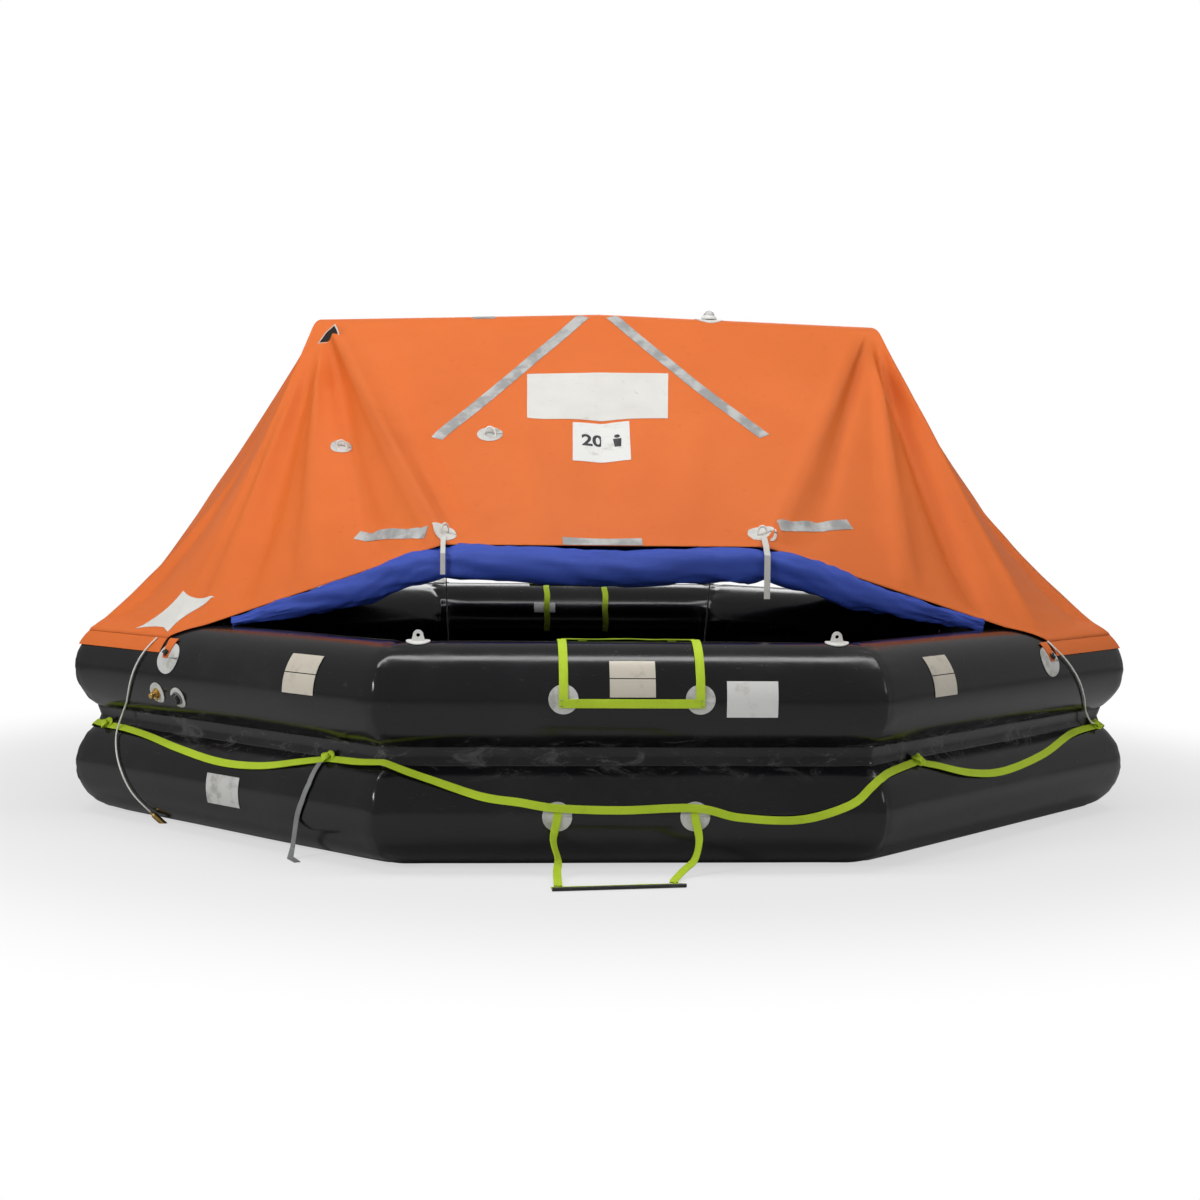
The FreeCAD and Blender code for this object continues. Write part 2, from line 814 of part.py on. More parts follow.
def tape_outline(start, stop, width):
    # A straight tape between two places, as an outline that turns left.
    run = Vector(stop[0] - start[0], stop[1] - start[1], 0).normalize() * (width / 2)
    off = (-run.y, run.x)
    return [(start[0] - off[0], start[1] - off[1]), (stop[0] - off[0], stop[1] - off[1]),
            (stop[0] + off[0], stop[1] + off[1]), (start[0] + off[0], start[1] + off[1])]


def round_outline(middle, diameter):
    turns = [math.radians(turn) for turn in range(0, 360, 24)]
    return [(middle[0] + diameter / 2 * math.cos(turn), middle[1] + diameter / 2 * math.sin(turn)) for turn in turns]


def canopy_tapes():
    wide = size("tape_width").value
    thick = size("tape_thickness").value
    low = size("tie_height").value + wide / 2 + 3
    ties = (-size("tie_left").value, size("tie_right").value)
    clear = size("tie_patch_diameter").value / 2 + 4
    top = size("ridge_height").value - 14
    runs = [((-70, top), (ties[0] - 34, top - 443)), ((60, top), (ties[1] + 77, top - 424)),
            ((-186, low), (77, low)), ((ties[0] - clear - 250, low + 21), (ties[0] - clear, low + 14)),
            ((ties[1] + clear, low + 45), (ties[1] + clear + 284, low + 57))]
    tapes = [cloth_patch(FRONT, tape_outline(start, stop, wide), thick) for start, stop in runs]
    return piece("canopy_tapes", Part.Compound(tapes))


def canopy_patches():
    thick = size("tape_thickness").value
    ties = (-size("tie_left").value, size("tie_right").value)
    high = size("tie_height").value + 40
    across = size("tie_patch_diameter").value
    discs = [cloth_patch(FRONT, round_outline((place, high), across), thick) for place in ties]
    piece("tie_patches", Part.Compound(discs))
    spots = ((-425, 1349, 92), (-953, 1316, 78))
    discs = [cloth_patch(FRONT, round_outline(spot[:2], spot[2]), thick) for spot in spots]
    piece("loop_patches", Part.Compound(discs))
    blank = [(-286, 1567), (-291, 1403), (220, 1409), (244, 1579)]
    piece("front_blank_panel", cloth_patch(FRONT, blank, thick))
    plate = [(-134, 1258), (70, 1263), (78, 1393), (-126, 1399)]
    piece("capacity_plate", cloth_patch(FRONT, plate, thick))
    corner = [(-523, 662), (-360, 662), (-216, 792), (-406, 794)]
    piece("corner_blank_panel", cloth_patch(FRONT_LEFT, corner, thick, ("front_canopy_panel", "left_canopy_panel")))


canopy_tapes()
canopy_patches()


def canopy_skirt(label, sides):
    # The band that glues the hem to the upper tube.
    along = size("corner_along").value
    angles = (size("skirt_low_angle").value, size("hem_angle").value - 0.2)
    return piece(label, mitred_strip(sides, along, -along, angles, upper_height, gap, cloth))


canopy_skirt("left_canopy_skirt", (REAR_LEFT, LEFT, FRONT_LEFT))
canopy_skirt("right_canopy_skirt", (FRONT_RIGHT, RIGHT, REAR_RIGHT))


# Doors, rolled up under the canopy's lower edges

def door_roll(label, rear):
    way = 1 if rear else -1
    columns = end_columns(rear)
    corners = (columns[0][1], columns[-1][1])
    ties = (columns[8][1], columns[-9][1])
    full = size("door_roll_diameter").value / 2
    thin = size("door_end_diameter").value / 2
    taper = ((0.76, thin * 0.6), (0.6, thin * 1.2), (0.3, full * 0.88), (0, full))
    stations = [(ties[0] + (corners[0] - ties[0]) * share, radius) for share, radius in taper]
    stations.append(((ties[0] + ties[1]) * 0.5 - Vector(0, 0, full / 5), full * 1.04))
    stations += [(ties[1] + (corners[1] - ties[1]) * share, radius) for share, radius in reversed(taper)]
    centres = [edge + Vector(0, way * 4, -radius - cloth - 1) for edge, radius in stations]
    rings = []
    for index, (edge, radius) in enumerate(stations):
        before = centres[max(0, index - 1)]
        after = centres[min(len(centres) - 1, index + 1)]
        rings.append(Part.Wire(Part.makeCircle(radius, centres[index], after - before)))
    return piece(label, Part.makeLoft(rings, True, True))


door_roll("front_door_roll", rear=False)
door_roll("rear_door_roll", rear=True)


def vent_hood():
    # A three-cornered sleeve of cloth at the left end of the ridge, open to the front.
    depth = size("hood_depth").value
    width = size("hood_width").value
    corner = ridge_point(-1)
    front = Vector(corner.x - width / 8, -arch_radius.value - cloth - depth, corner.z - width * 1.35)
    mouth = [front, front + Vector(width, 0, width / 12), front + Vector(width * 0.86, 0, width * 0.9)]
    middle = sum(mouth, Vector(0, 0, 0)) * (1 / 3)
    outer = Part.Face(Part.makePolygon(mouth + mouth[:1])).extrude(Vector(0, depth - 2, 0))
    hole = [middle + (place - middle) * 0.72 for place in mouth]
    inner = Part.Face(Part.makePolygon(hole + hole[:1])).extrude(Vector(0, depth, 0))
    columns = end_columns(rear=False)
    sag = size("front_sag").value
    cloth_at = [wrapped(*columns[column], share, sag) for column, share in ((0, 0.09), (8, 0.09), (4, 0.2))]
    facing = (cloth_at[2] - cloth_at[0]).cross(cloth_at[1] - cloth_at[0])
    behind = Part.makeBox(depth * 20, depth * 20, depth * 20, Vector(-depth * 10, -depth * 10, -depth * 20))
    if facing.y > 0:
        facing = facing * -1
    behind.Placement = Placement(cloth_at[0] + facing.normalize() * (gap + 2.6), Rotation(Vector(0, 0, 1), facing))
    return piece("vent_hood", outer.cut(inner).cut(behind))


vent_hood()


# Webbing and round patches glued to the tubes

patch_lift = gap + size("patch_thickness").value + gap
ENTRANCES = {"front": FRONT, "rear": REAR}
LADDER_SHIFT = -14
PANEL_CORNERS = ((FRONT_LEFT, -1), (FRONT_RIGHT, 1), (REAR_LEFT, 1), (REAR_RIGHT, -1))


def webbing_strip(side, alongs, angles, height):
    return tube_strip(side, alongs, angles, height, patch_lift, size("webbing_thickness").value)


def strap_patches():
    discs = []
    diameter = size("patch_diameter").value
    thick = size("patch_thickness").value
    for side in ENTRANCES.values():
        for way in (-1, 1):
            handle = size("handle_half_width").value * way
            ladder = size("ladder_half_width").value * way + LADDER_SHIFT
            discs.append(tube_disc(side, handle, 4, upper_height, gap, thick, diameter))
            discs.append(tube_disc(side, ladder, 0, lower_height, gap, thick, diameter))
    return piece("strap_patches", Part.Compound(discs))


def corner_patches():
    # Round patches that the canopy's corners are tied to, and the cloth tabs that reach them.
    thick = size("patch_thickness").value
    along = size("corner_along").value
    discs = []
    tabs = []
    for side, way in PANEL_CORNERS:
        middle = (along - 56) * way
        discs.append(tube_disc(side, middle, 22, upper_height, gap, thick, size("patch_diameter").value * 1.2))
        reach = sorted((middle - 8 * way, middle + 34 * way))
        angles = (24, size("hem_angle").value - 0.2)
        tabs.append(tube_strip(side, reach, angles, upper_height, patch_lift, cloth))
    piece("corner_patches", Part.Compound(discs))
    piece("corner_tabs", Part.Compound(tabs))


def boarding_handle(label, side):
    # A closed U of webbing: up the tube from both patches, across behind the crown and in front.
    half = size("handle_half_width").value
    wide = size("webbing_width").value
    spread = math.degrees(wide / tube_radius.value) / 2
    parts = [
        webbing_strip(side, (-half - wide / 2, -half + wide / 2), (-spread, 100 + spread), upper_height),
        webbing_strip(side, (half - wide / 2, half + wide / 2), (-spread, 100 + spread), upper_height),
        webbing_strip(side, (-half, half), (-spread, spread), upper_height),
        webbing_strip(side, (-half, half), (100 - spread, 100 + spread), upper_height),
    ]
    return piece(label, parts[0].multiFuse(parts[1:]).removeSplitter())


def inner_straps(label, side):
    # The boarding straps go on over the tube, down its inner face.
    wide = size("webbing_width").value
    spread = math.degrees(wide / tube_radius.value) / 2
    straps = []
    for place in (-139, 139):
        alongs = (place - wide / 2, place + wide / 2)
        straps.append(webbing_strip(side, alongs, (100 + spread, 196), upper_height))
    return piece(label, Part.Compound(straps))


def tube_labels():
    # Reflective patches and bare labels on the front sides.
    thick = size("tape_thickness").value
    patches = [
        tube_strip(FRONT, (-67, 71), (6, 45), upper_height, gap, thick),
        tube_strip(FRONT_LEFT, (363, 510), (0, 43), upper_height, gap, thick),
        tube_strip(FRONT_RIGHT, (-513, -383), (0, 45), upper_height, gap, thick),
    ]
    piece("reflective_patches", Part.Compound(patches))
    piece("front_label", tube_strip(FRONT, (286, 441), (-14, 22.6), upper_height, gap, thick))
    piece("lower_label", tube_strip(FRONT_LEFT, (-23, 143), (-17, 16), lower_height, gap, thick))


strap_patches()
corner_patches()
tube_labels()
for name, side in ENTRANCES.items():
    boarding_handle(f"{name}_boarding_handle", side)
    inner_straps(f"{name}_inner_straps", side)


def ribbon(stations, width, thickness):
    # Flat webbing through stations of (place, direction across its width, direction out of its face).
    rings = []
    for place, across, out in stations:
        across = Vector(across).normalize() * (width / 2)
        out = Vector(out).normalize() * thickness
        corners = [place - across, place + across, place + across + out, place - across + out]
        rings.append(Part.makePolygon(corners + corners[:1]))
    return Part.makeLoft(rings, True, True)


# The lifeline hangs in bights between knots on the lower tube.
# Places are (side, distance along the side, angle above the tube's equator).
LINE_KNOTS = [(FRONT_LEFT, 507, 53), (FRONT_LEFT, -670, 53), (FRONT_RIGHT, -517, 50), (FRONT_RIGHT, 686, 53)]
FRONT_BIGHT = [(FRONT_LEFT, 507, 53), (FRONT_LEFT, 640, 53), (FRONT, -700, 50), (FRONT, -603, 37),
               (FRONT, -453, 20), (FRONT, -333, 14), (FRONT, -223, 8.7), (FRONT, -33, 6.7), (FRONT, 193, 8.6),
               (FRONT, 330, -0.5), (FRONT, 512, -2.6), (FRONT, 665, 11.5), (FRONT, 735, 30),
               (FRONT_RIGHT, -700, 43), (FRONT_RIGHT, -517, 50)]
CORNER_BIGHTS = [
    [(FRONT_LEFT, 507, 53), (FRONT_LEFT, 393, 43), (FRONT_LEFT, 220, 32), (FRONT_LEFT, 21, 29),
     (FRONT_LEFT, -207, 36), (FRONT_LEFT, -436, 47), (FRONT_LEFT, -670, 53)],
    [(FRONT_RIGHT, -517, 50), (FRONT_RIGHT, -458, 43), (FRONT_RIGHT, -292, 27), (FRONT_RIGHT, -83, 20.5),
     (FRONT_RIGHT, 205, 29), (FRONT_RIGHT, 481, 47.5), (FRONT_RIGHT, 686, 53)],
]
REAR_BIGHT = [(REAR_LEFT, -507, 53), (REAR, 700, 49), (REAR, 400, 34), (REAR, 0, 25), (REAR, -400, 34),
              (REAR, -700, 46), (REAR_RIGHT, 517, 50)]
SIDE_BIGHTS = [
    [(FRONT_LEFT, -670, 53), (LEFT, 690, 48), (LEFT, 400, 34), (LEFT, 0, 26), (LEFT, -400, 34),
     (LEFT, -690, 48), (REAR_LEFT, 670, 53)],
    [(FRONT_RIGHT, 686, 53), (RIGHT, -690, 48), (RIGHT, -400, 34), (RIGHT, 0, 26), (RIGHT, 400, 34),
     (RIGHT, 690, 48), (REAR_RIGHT, -686, 53)],
]


def mirrored(places):
    # The same places on the rear half of the raft.
    return [((REAR - side) % RAFT_SIDES, -along, angle) for side, along, angle in places]


def radial_way(side, angle):
    outward, along_way = side_frame(side)
    turn = math.radians(angle)
    return outward * math.cos(turn) + Vector(0, 0, math.sin(turn))


def line_stations(places, lift):
    # Close places on the lower tube's skin with the way out of it, and one more on each corner crossed.
    ridge_lift = lift + 1.2
    stations = []
    for before, after in zip(places, places[1:]):
        side, along, angle = before
        stop_side, stop_along, stop_angle = after
        if side == stop_side:
            steps = max(1, math.ceil(abs(stop_angle - angle) / 4))
            for step in range(steps):
                share = step / steps
                here = (along + (stop_along - along) * share, angle + (stop_angle - angle) * share)
                stations.append((tube_point(side, *here, lower_height, lift), radial_way(side, here[1])))
            continue
        stations.append((tube_point(side, along, angle, lower_height, lift), radial_way(side, angle)))
        way = 1 if (side - 1) % RAFT_SIDES == stop_side else -1
        middle = (angle + stop_angle) / 2
        radial = apothem.value + (tube_radius.value + ridge_lift) * math.cos(math.radians(middle))
        corner = radial * math.tan(math.radians(HALF_SIDE)) * way
        out = radial_way(side, middle) + radial_way(stop_side, middle)
        stations.append((tube_point(side, corner, middle, lower_height, ridge_lift), out))
    side, along, angle = places[-1]
    stations.append((tube_point(side, along, angle, lower_height, lift), radial_way(side, angle)))
    return stations


def line_span(places, lift):
    stations = line_stations(places, lift)
    rings = []
    for index, (place, out) in enumerate(stations):
        run = stations[min(len(stations) - 1, index + 1)][0] - stations[max(0, index - 1)][0]
        rings.append((place, run.cross(out), out))
    return ribbon(rings, size("webbing_width").value - 2, size("webbing_thickness").value)


def barrel(centre, run, radius):
    # A knot: a short barrel, thickest at its middle.
    length = radius * 2.4
    outline = [Vector(0, 0, 0), Vector(radius * 0.6, 0, 0), Vector(radius, 0, length * 0.3),
               Vector(radius, 0, length * 0.7), Vector(radius * 0.6, 0, length), Vector(0, 0, length)]
    knot = Part.Face(Part.makePolygon(outline + outline[:1])).revolve(Vector(0, 0, 0), Vector(0, 0, 1), 360)
    run = Vector(run).normalize()
    knot.Placement = Placement(centre - run * (length / 2), Rotation(Vector(0, 0, 1), run))
    return knot


line_lift = gap + 0.2
knot_radius = size("webbing_width").value / 2


def lifeline():
    ends = 4
    spans = [line_span(FRONT_BIGHT, patch_lift + 0.2), line_span(REAR_BIGHT, line_lift)]
    for places in CORNER_BIGHTS:
        # spans that share a knot stop just short of each other under it
        inset = ends if places[0][1] > places[-1][1] else -ends
        side, along, angle = places[0]
        stop_side, stop_along, stop_angle = places[-1]
        trimmed = [(side, along - inset, angle)] + places[1:-1] + [(stop_side, stop_along + inset, stop_angle)]
        spans.append(line_span(trimmed, line_lift))
        spans.append(line_span(mirrored(trimmed), line_lift))
    spans += [line_span(places, line_lift) for places in SIDE_BIGHTS]
    piece("lifeline", Part.Compound(spans))
    knots = []
    for side, along, angle in LINE_KNOTS + mirrored(LINE_KNOTS):
        under = patch_lift + 0.2 if (side, along, angle) in (FRONT_BIGHT[0], FRONT_BIGHT[-1]) else line_lift
        lift = knot_radius + under + size("webbing_thickness").value + gap
        outward, along_way = side_frame(side)
        knots.append(barrel(tube_point(side, along, angle, lower_height, lift), along_way, knot_radius))
    piece("lifeline_knots", Part.Compound(knots))


lifeline()


# Boarding ladders, let down and lying out on the ground

def half_turned(shape, rear):
    if rear:
        shape.rotate(Vector(0, 0, 0), Vector(0, 0, 1), 180)
    return shape


def boarding_ladder(name, rear):
    wide = size("webbing_width").value - 2
    thick = size("webbing_thickness").value
    reach = size("raft_width").value / 2 + size("step_reach").value
    half = size("ladder_half_width").value
    rod = size("step_rod_diameter").value
    length = size("step_length").value
    web = size("step_web_width").value
    tube_front = size("raft_width").value / 2
    step = Placement(Vector(LADDER_SHIFT * 3.5, -reach, 0), Rotation(Vector(0, 0, 1), 7))
    straps = []
    for way in (-1, 1):
        foot = step.multVec(Vector((length / 2 - wide) * way, web, thick + 2 * gap))
        top = Vector(half * way + LADDER_SHIFT, -tube_front - patch_lift, lower_height.value - 8)
        route = [
            top,
            Vector(top.x + 14 * way, top.y - 10, lower_height.value * 0.55),
            Vector(top.x - 4 * way, top.y - 26, lower_height.value * 0.24),
            Vector((top.x + foot.x) / 2, (top.y * 2 + foot.y) / 3, foot.z + 8),
            foot + Vector(0, web / 2, 0),
            foot - Vector(0, web / 3, 0),
        ]
        rings = []
        for index, place in enumerate(route):
            run = route[min(len(route) - 1, index + 1)] - route[max(0, index - 1)]
            across = Vector(1, 0.06 * way * min(index, 2), 0)
            rings.append((place, across, across.cross(run) * -1))
        straps.append(half_turned(ribbon(rings, wide, thick), rear))
    piece(f"{name}_ladder_straps", Part.Compound(straps))
    band = Part.makeBox(length - 6, web, thick, Vector(3 - length / 2, rod / 2 + gap, gap))
    band.Placement = step.multiply(band.Placement)
    piece(f"{name}_step_webbing", half_turned(band, rear))
    bar = Part.makeCylinder(rod / 2, length, Vector(-length / 2, 0, rod / 2), Vector(1, 0, 0))
    bar = bar.makeChamfer(rod / 8, [edge for edge in bar.Edges if edge.Closed])
    bar.Placement = step.multiply(bar.Placement)
    piece(f"{name}_step_rod", half_turned(bar, rear))


for name in ENTRANCES:
    boarding_ladder(name, name == "rear")


# Crown eyes: a base bent to the tube with an upright holed plate, moulded as one

def crown_eyes():
    eyes = []
    plate_half = size("eye_plate_width").value / 2
    thick = size("eye_plate_thickness").value
    base = size("patch_thickness").value + 1
    for side in ENTRANCES.values():
        for way in (-1, 1):
            along = size("eye_spacing").value * way
            seat = tube_seat(side, along, 84, upper_height, gap)
            disc = tube_disc(side, along, 84, upper_height, gap, base, size("eye_base_diameter").value)
            foot = [Vector(-plate_half * 1.3, 0, base / 2), Vector(plate_half * 1.3, 0, base / 2)]
            crown = [Vector(plate_half, 0, plate_half * 1.2), Vector(-plate_half, 0, plate_half * 1.2)]
            top = Part.Arc(crown[0], Vector(0, 0, plate_half * 2.2), crown[1]).toShape()
            edges = [Part.LineSegment(foot[0], foot[1]).toShape(), Part.LineSegment(foot[1], crown[0]).toShape(),
                     top, Part.LineSegment(crown[1], foot[0]).toShape()]
            plate = Part.Face(Part.Wire(edges)).extrude(Vector(0, thick, 0))
            plate.translate(Vector(0, -thick / 2, 0))
            hole = Part.makeCylinder(size("eye_hole_diameter").value / 2, thick * 4,
                                     Vector(0, -thick * 2, plate_half * 1.2), Vector(0, 1, 0))
            plate = plate.cut(hole)
            plate.Placement = seat.multiply(plate.Placement)
            eyes.append(disc.fuse(plate).removeSplitter())
    return piece("crown_eyes", Part.Compound(eyes))


crown_eyes()


# Valves on the front left side of the upper tube

def valve_pad(label, along, angle):
    shape = tube_disc(FRONT_LEFT, along, angle, upper_height, gap, size("patch_thickness").value,
                      size("valve_pad_diameter").value)
    return piece(label, shape)


TOPPING_SEAT = tube_seat(FRONT_LEFT, -190, -22, upper_height, patch_lift)
INLET_SEAT = tube_seat(FRONT_LEFT, -300, -19, upper_height, patch_lift)


def topping_up_valve():
    valve_pad("topping_up_pad", -190, -22)
    radius = size("valve_body_diameter") / 2
    cap_radius = size("valve_cap_diameter") / 2
    height = size("valve_cap_height")
    clearance = size("seat_gap")
    boss = cap_radius * 0.62
    body = new_body("topping_up_valve")
    add_turned(body, "valve", [
        (as_size(0), as_size(0)),
        (radius, as_size(0)),
        (radius, height * 0.25),
        (radius * 0.86, height * 0.4),
        (boss, height * 0.4),
        (boss, height * 0.9),
        (as_size(0), height * 0.9),
    ])
    body.Placement = TOPPING_SEAT
    cap = new_body("topping_up_cap")
    floor_level = height * 0.4 + clearance
    turned = add_turned(cap, "cap", [
        (as_size(0), height * 0.9 + clearance),
        (boss + clearance, height * 0.9 + clearance),
        (boss + clearance, floor_level),
        (cap_radius, floor_level),
        (cap_radius, height * 1.3),
        (cap_radius * 0.86, height * 1.5),
        (as_size(0), height * 1.5),
    ])
    doc.recompute()
    grip = new_sketch(cap, "XY_Plane", "grip_outline")
    draw_circle(grip, cap_radius * 1.06, 0, cap_radius * 0.14)
    notch = add_pocket(cap, grip, "grip", height * 2, reverse=True)
    doc.recompute()
    ring = cap.newObject("PartDesign::PolarPattern", "grips")
    ring.Originals = [notch]
    ring.Axis = (origin_part(cap, "Z_Axis"), [""])
    ring.Angle = 360
    ring.Occurrences = 10
    cap.Tip = ring
    cap.Placement = TOPPING_SEAT


def inlet_valve():
    valve_pad("inlet_pad", -300, -19)
    radius = size("inlet_diameter") / 2
    body = new_body("inlet_valve")
    add_turned(body, "inlet", [
        (as_size(0), as_size(0)),
        (radius * 1.5, as_size(0)),
        (radius * 1.5, radius * 0.25),
        (radius, radius * 0.25),
        (radius, radius * 1.1),
        (radius * 0.62, radius * 1.1),
        (radius * 0.62, radius * 1.5),
        (radius * 0.8, radius * 1.5),
        (radius * 0.8, radius * 2.2),
        (radius * 0.66, radius * 2.4),
        (as_size(0), radius * 2.4),
    ])
    doc.recompute()
    side = new_sketch(body, "XZ_Plane", "elbow_outline")
    draw_circle(side, 0, radius * 0.66, radius * 0.42)
    add_pad(body, side, "elbow", radius * 1.9)
    body.Placement = INLET_SEAT


topping_up_valve()
inlet_valve()


# Light on the ridge and the sea cell that feeds it

def ridge_seat(place):
    # A placement on the arch's axis under a place along the ridge.
    crest = ridge_point(place / ridge_point(1).x)
    slope = math.degrees(math.atan2(size("ridge_bow").value, arch_half.value))
    turn = Rotation(Vector(0, 1, 0), slope if place > 0 else -slope)
    return Placement(Vector(crest.x, 0, crest.z - wrap_radius), turn)


def ridge_pad(label, place, punch):
    # A patch bent over the ridge, cut out by an upright punch.
    thick = size("patch_thickness").value
    reach = size("light_pad_diameter").value
    skin = wrap_radius + gap
    start = Vector(-reach, 0, 0)
    ring = Part.makeCylinder(skin + thick, reach * 2, start, Vector(1, 0, 0))
    ring = ring.cut(Part.makeCylinder(skin, reach * 2, start, Vector(1, 0, 0)))
    pad = ring.common(punch)
    pad.Placement = ridge_seat(place)
    return piece(label, pad)


def ridge_light():
    thick = size("patch_thickness").value
    skin = wrap_radius + gap
    seat = ridge_seat(size("light_position").value)
    punch = Part.makeCylinder(size("light_pad_diameter").value / 2, arch_radius.value * 2)
    ridge_pad("light_pad", size("light_position").value, punch)
    ridge_pad("ridge_patch", -444, Part.makeBox(86, 96, arch_radius.value * 2, Vector(-43, -48, 0)))
    base_radius = size("light_base_diameter") / 2
    lens_radius = size("light_lens_diameter") / 2
    clearance = size("seat_gap")
    sink = skin + thick + gap
    base = new_body("light_base")
    add_turned(base, "base", [
        (as_size(0), as_size(0)),
        (base_radius, as_size(0)),
        (base_radius, base_radius * 0.2),
        (lens_radius * 1.12, base_radius * 0.42),
        (as_size(0), base_radius * 0.42),
    ])
    base.Placement = seat.multiply(Placement(Vector(0, 0, sink), Rotation()))
    lens = new_body("light_lens")
    bottom = base_radius * 0.42 + clearance
    add_turned(lens, "lens", [
        (as_size(0), bottom),
        (lens_radius, bottom, lens_radius, 1),
        (as_size(0), bottom + lens_radius),
    ])
    lens.Placement = base.Placement


def path_wire(points, label):
    # Straight runs joined by tangent arcs, each as large as its two runs allow.
    edges = []
    start = points[0]
    radii = []
    for before, corner, after in zip(points, points[1:], points[2:]):
        inward = (before - corner).normalize()
        onward = (after - corner).normalize()
        half_turn = (math.pi - inward.getAngle(onward)) / 2
        setback = 0.45 * min((before - corner).Length, (after - corner).Length)
        radius = setback / math.tan(half_turn)
        radii.append(round(radius, 1))
        first = corner + inward * setback
        last = corner + onward * setback
        bisector = (inward + onward).normalize()
        middle = corner + bisector * (radius / math.cos(half_turn) - radius)
        edges.append(Part.LineSegment(start, first).toShape())
        edges.append(Part.Arc(first, middle, last).toShape())
        start = last
    edges.append(Part.LineSegment(start, points[-1]).toShape())
    print(label, "bend radii", radii)
    return Part.Wire(edges)


def cord(points, diameter, label):
    wire = path_wire(points, label)
    circle = Part.Wire(Part.makeCircle(diameter / 2, points[0], points[1] - points[0]))
    tube = wire.makePipeShell([circle], True, False)
    expected = math.pi * diameter ** 2 / 4 * wire.Length
    print(label, "length", round(wire.Length), "volume share", round(tube.Volume / expected, 4))
    return tube


cord_lift = gap + cloth + gap + 1.2
CABLE_ROUTE = [(upper_height, -346, 44), (upper_height, -368, 31), (upper_height, -392, 16),
               (upper_height, -420, -1), (upper_height, -452, -18), (upper_height, -500, -36),
               (upper_height, -560, -50), (lower_height, -590, 46), (lower_height, -556, 32),
               (lower_height, -522, 17), (lower_height, -488, 2), (lower_height, -458, -14),
               (lower_height, -430, -30), (lower_height, -400, -47)]
RIGHT_CORD_ROUTE = [(upper_height, 286, 46), (upper_height, 298, 36), (upper_height, 328, 26),
                    (upper_height, 372, 11), (upper_height, 424, -5), (upper_height, 480, -22),
                    (upper_height, 540, -38), (upper_height, 604, -52)]


def skin_route(side, route, lift):
    return [tube_point(side, along, angle, height, lift) for height, along, angle in route]


def light_cable():
    diameter = size("cable_diameter").value
    points = skin_route(FRONT_LEFT, CABLE_ROUTE, diameter / 2 + cord_lift)
    return piece("light_cable", cord(points, diameter, "light_cable"))


def sea_cell():
    radius = size("cell_diameter") / 2
    length = size("cell_length")
    body = new_body("sea_cell")
    add_turned(body, "cell", [
        (as_size(0), as_size(0)),
        (radius * 0.5, as_size(0)),
        (radius * 0.5, length * 0.12),
        (radius, length * 0.2),
        (radius, length * 0.9),
        (radius * 0.7, length),
        (as_size(0), length),
    ])
    diameter = size("cable_diameter").value
    points = skin_route(FRONT_LEFT, CABLE_ROUTE, diameter / 2 + cord_lift)
    way = points[-1] - points[-2]
    body.Placement = Placement(points[-1] + Vector(way).normalize() * gap, Rotation(Vector(0, 0, 1), way))


def right_corner_cord():
    diameter = size("cable_diameter").value
    points = skin_route(FRONT_RIGHT, RIGHT_CORD_ROUTE, diameter / 2 + cord_lift)
    # it ends against the knot at this corner
    side, along, angle = LINE_KNOTS[3]
    lift = knot_radius + line_lift + size("webbing_thickness").value + gap
    for short in (knot_radius * 1.2 + 24, knot_radius * 1.2 + gap):
        points.append(tube_point(side, along - short, angle, lower_height, lift))
    return piece("corner_cord", cord(points, diameter, "corner_cord"))


def rear_stays():
    # Two cords that hold the rear door's edge down to the lower tube, inside.
    diameter = size("stay_diameter").value
    stays = []
    for way in (-1, 1):
        across = (size("rear_tie").value + 18) * way
        top = Vector(across, tie_reach - 8, size("tie_height").value - 106)
        bottom = tube_point(REAR, -across + 18 * way, 158, lower_height, diameter / 2 - 0.7)
        stays.append(Part.makeCylinder(diameter / 2, (bottom - top).Length, top, bottom - top))
    return piece("rear_door_stays", Part.Compound(stays))


ridge_light()
light_cable()
sea_cell()
right_corner_cord()
rear_stays()


# Door tie tapes that hang from the front ties, and the grey loop at the front left corner

def tie_tape(label, across, drop, width):
    full = size("door_roll_diameter").value
    front = -tie_reach - 4 - full / 2 - gap
    top = size("tie_height").value
    thick = size("webbing_thickness").value - 1
    route = [Vector(across, -tie_reach + 40, top + 30), Vector(across, -tie_reach - 12, top + 4),
             Vector(across, front, top - full * 0.3), Vector(across, front, top - full * 0.75),
             Vector(across, front, top - drop)]
    rings = []
    for index, place in enumerate(route):
        run = route[min(len(route) - 1, index + 1)] - route[max(0, index - 1)]
        rings.append((place, Vector(1, 0, 0), Vector(1, 0, 0).cross(run) * -1))
    return piece(label, ribbon(rings, width, thick))


tie_tape("left_tie_tape", -size("tie_left").value, 96, 16)
tie_tape("right_tie_tape", size("tie_right").value, 170, 20)


GREY_ROUTE = [(FRONT_LEFT, 485, 56), (FRONT_LEFT, 482, 22), (FRONT_LEFT, 464, 4), (FRONT_LEFT, 430, -16)]


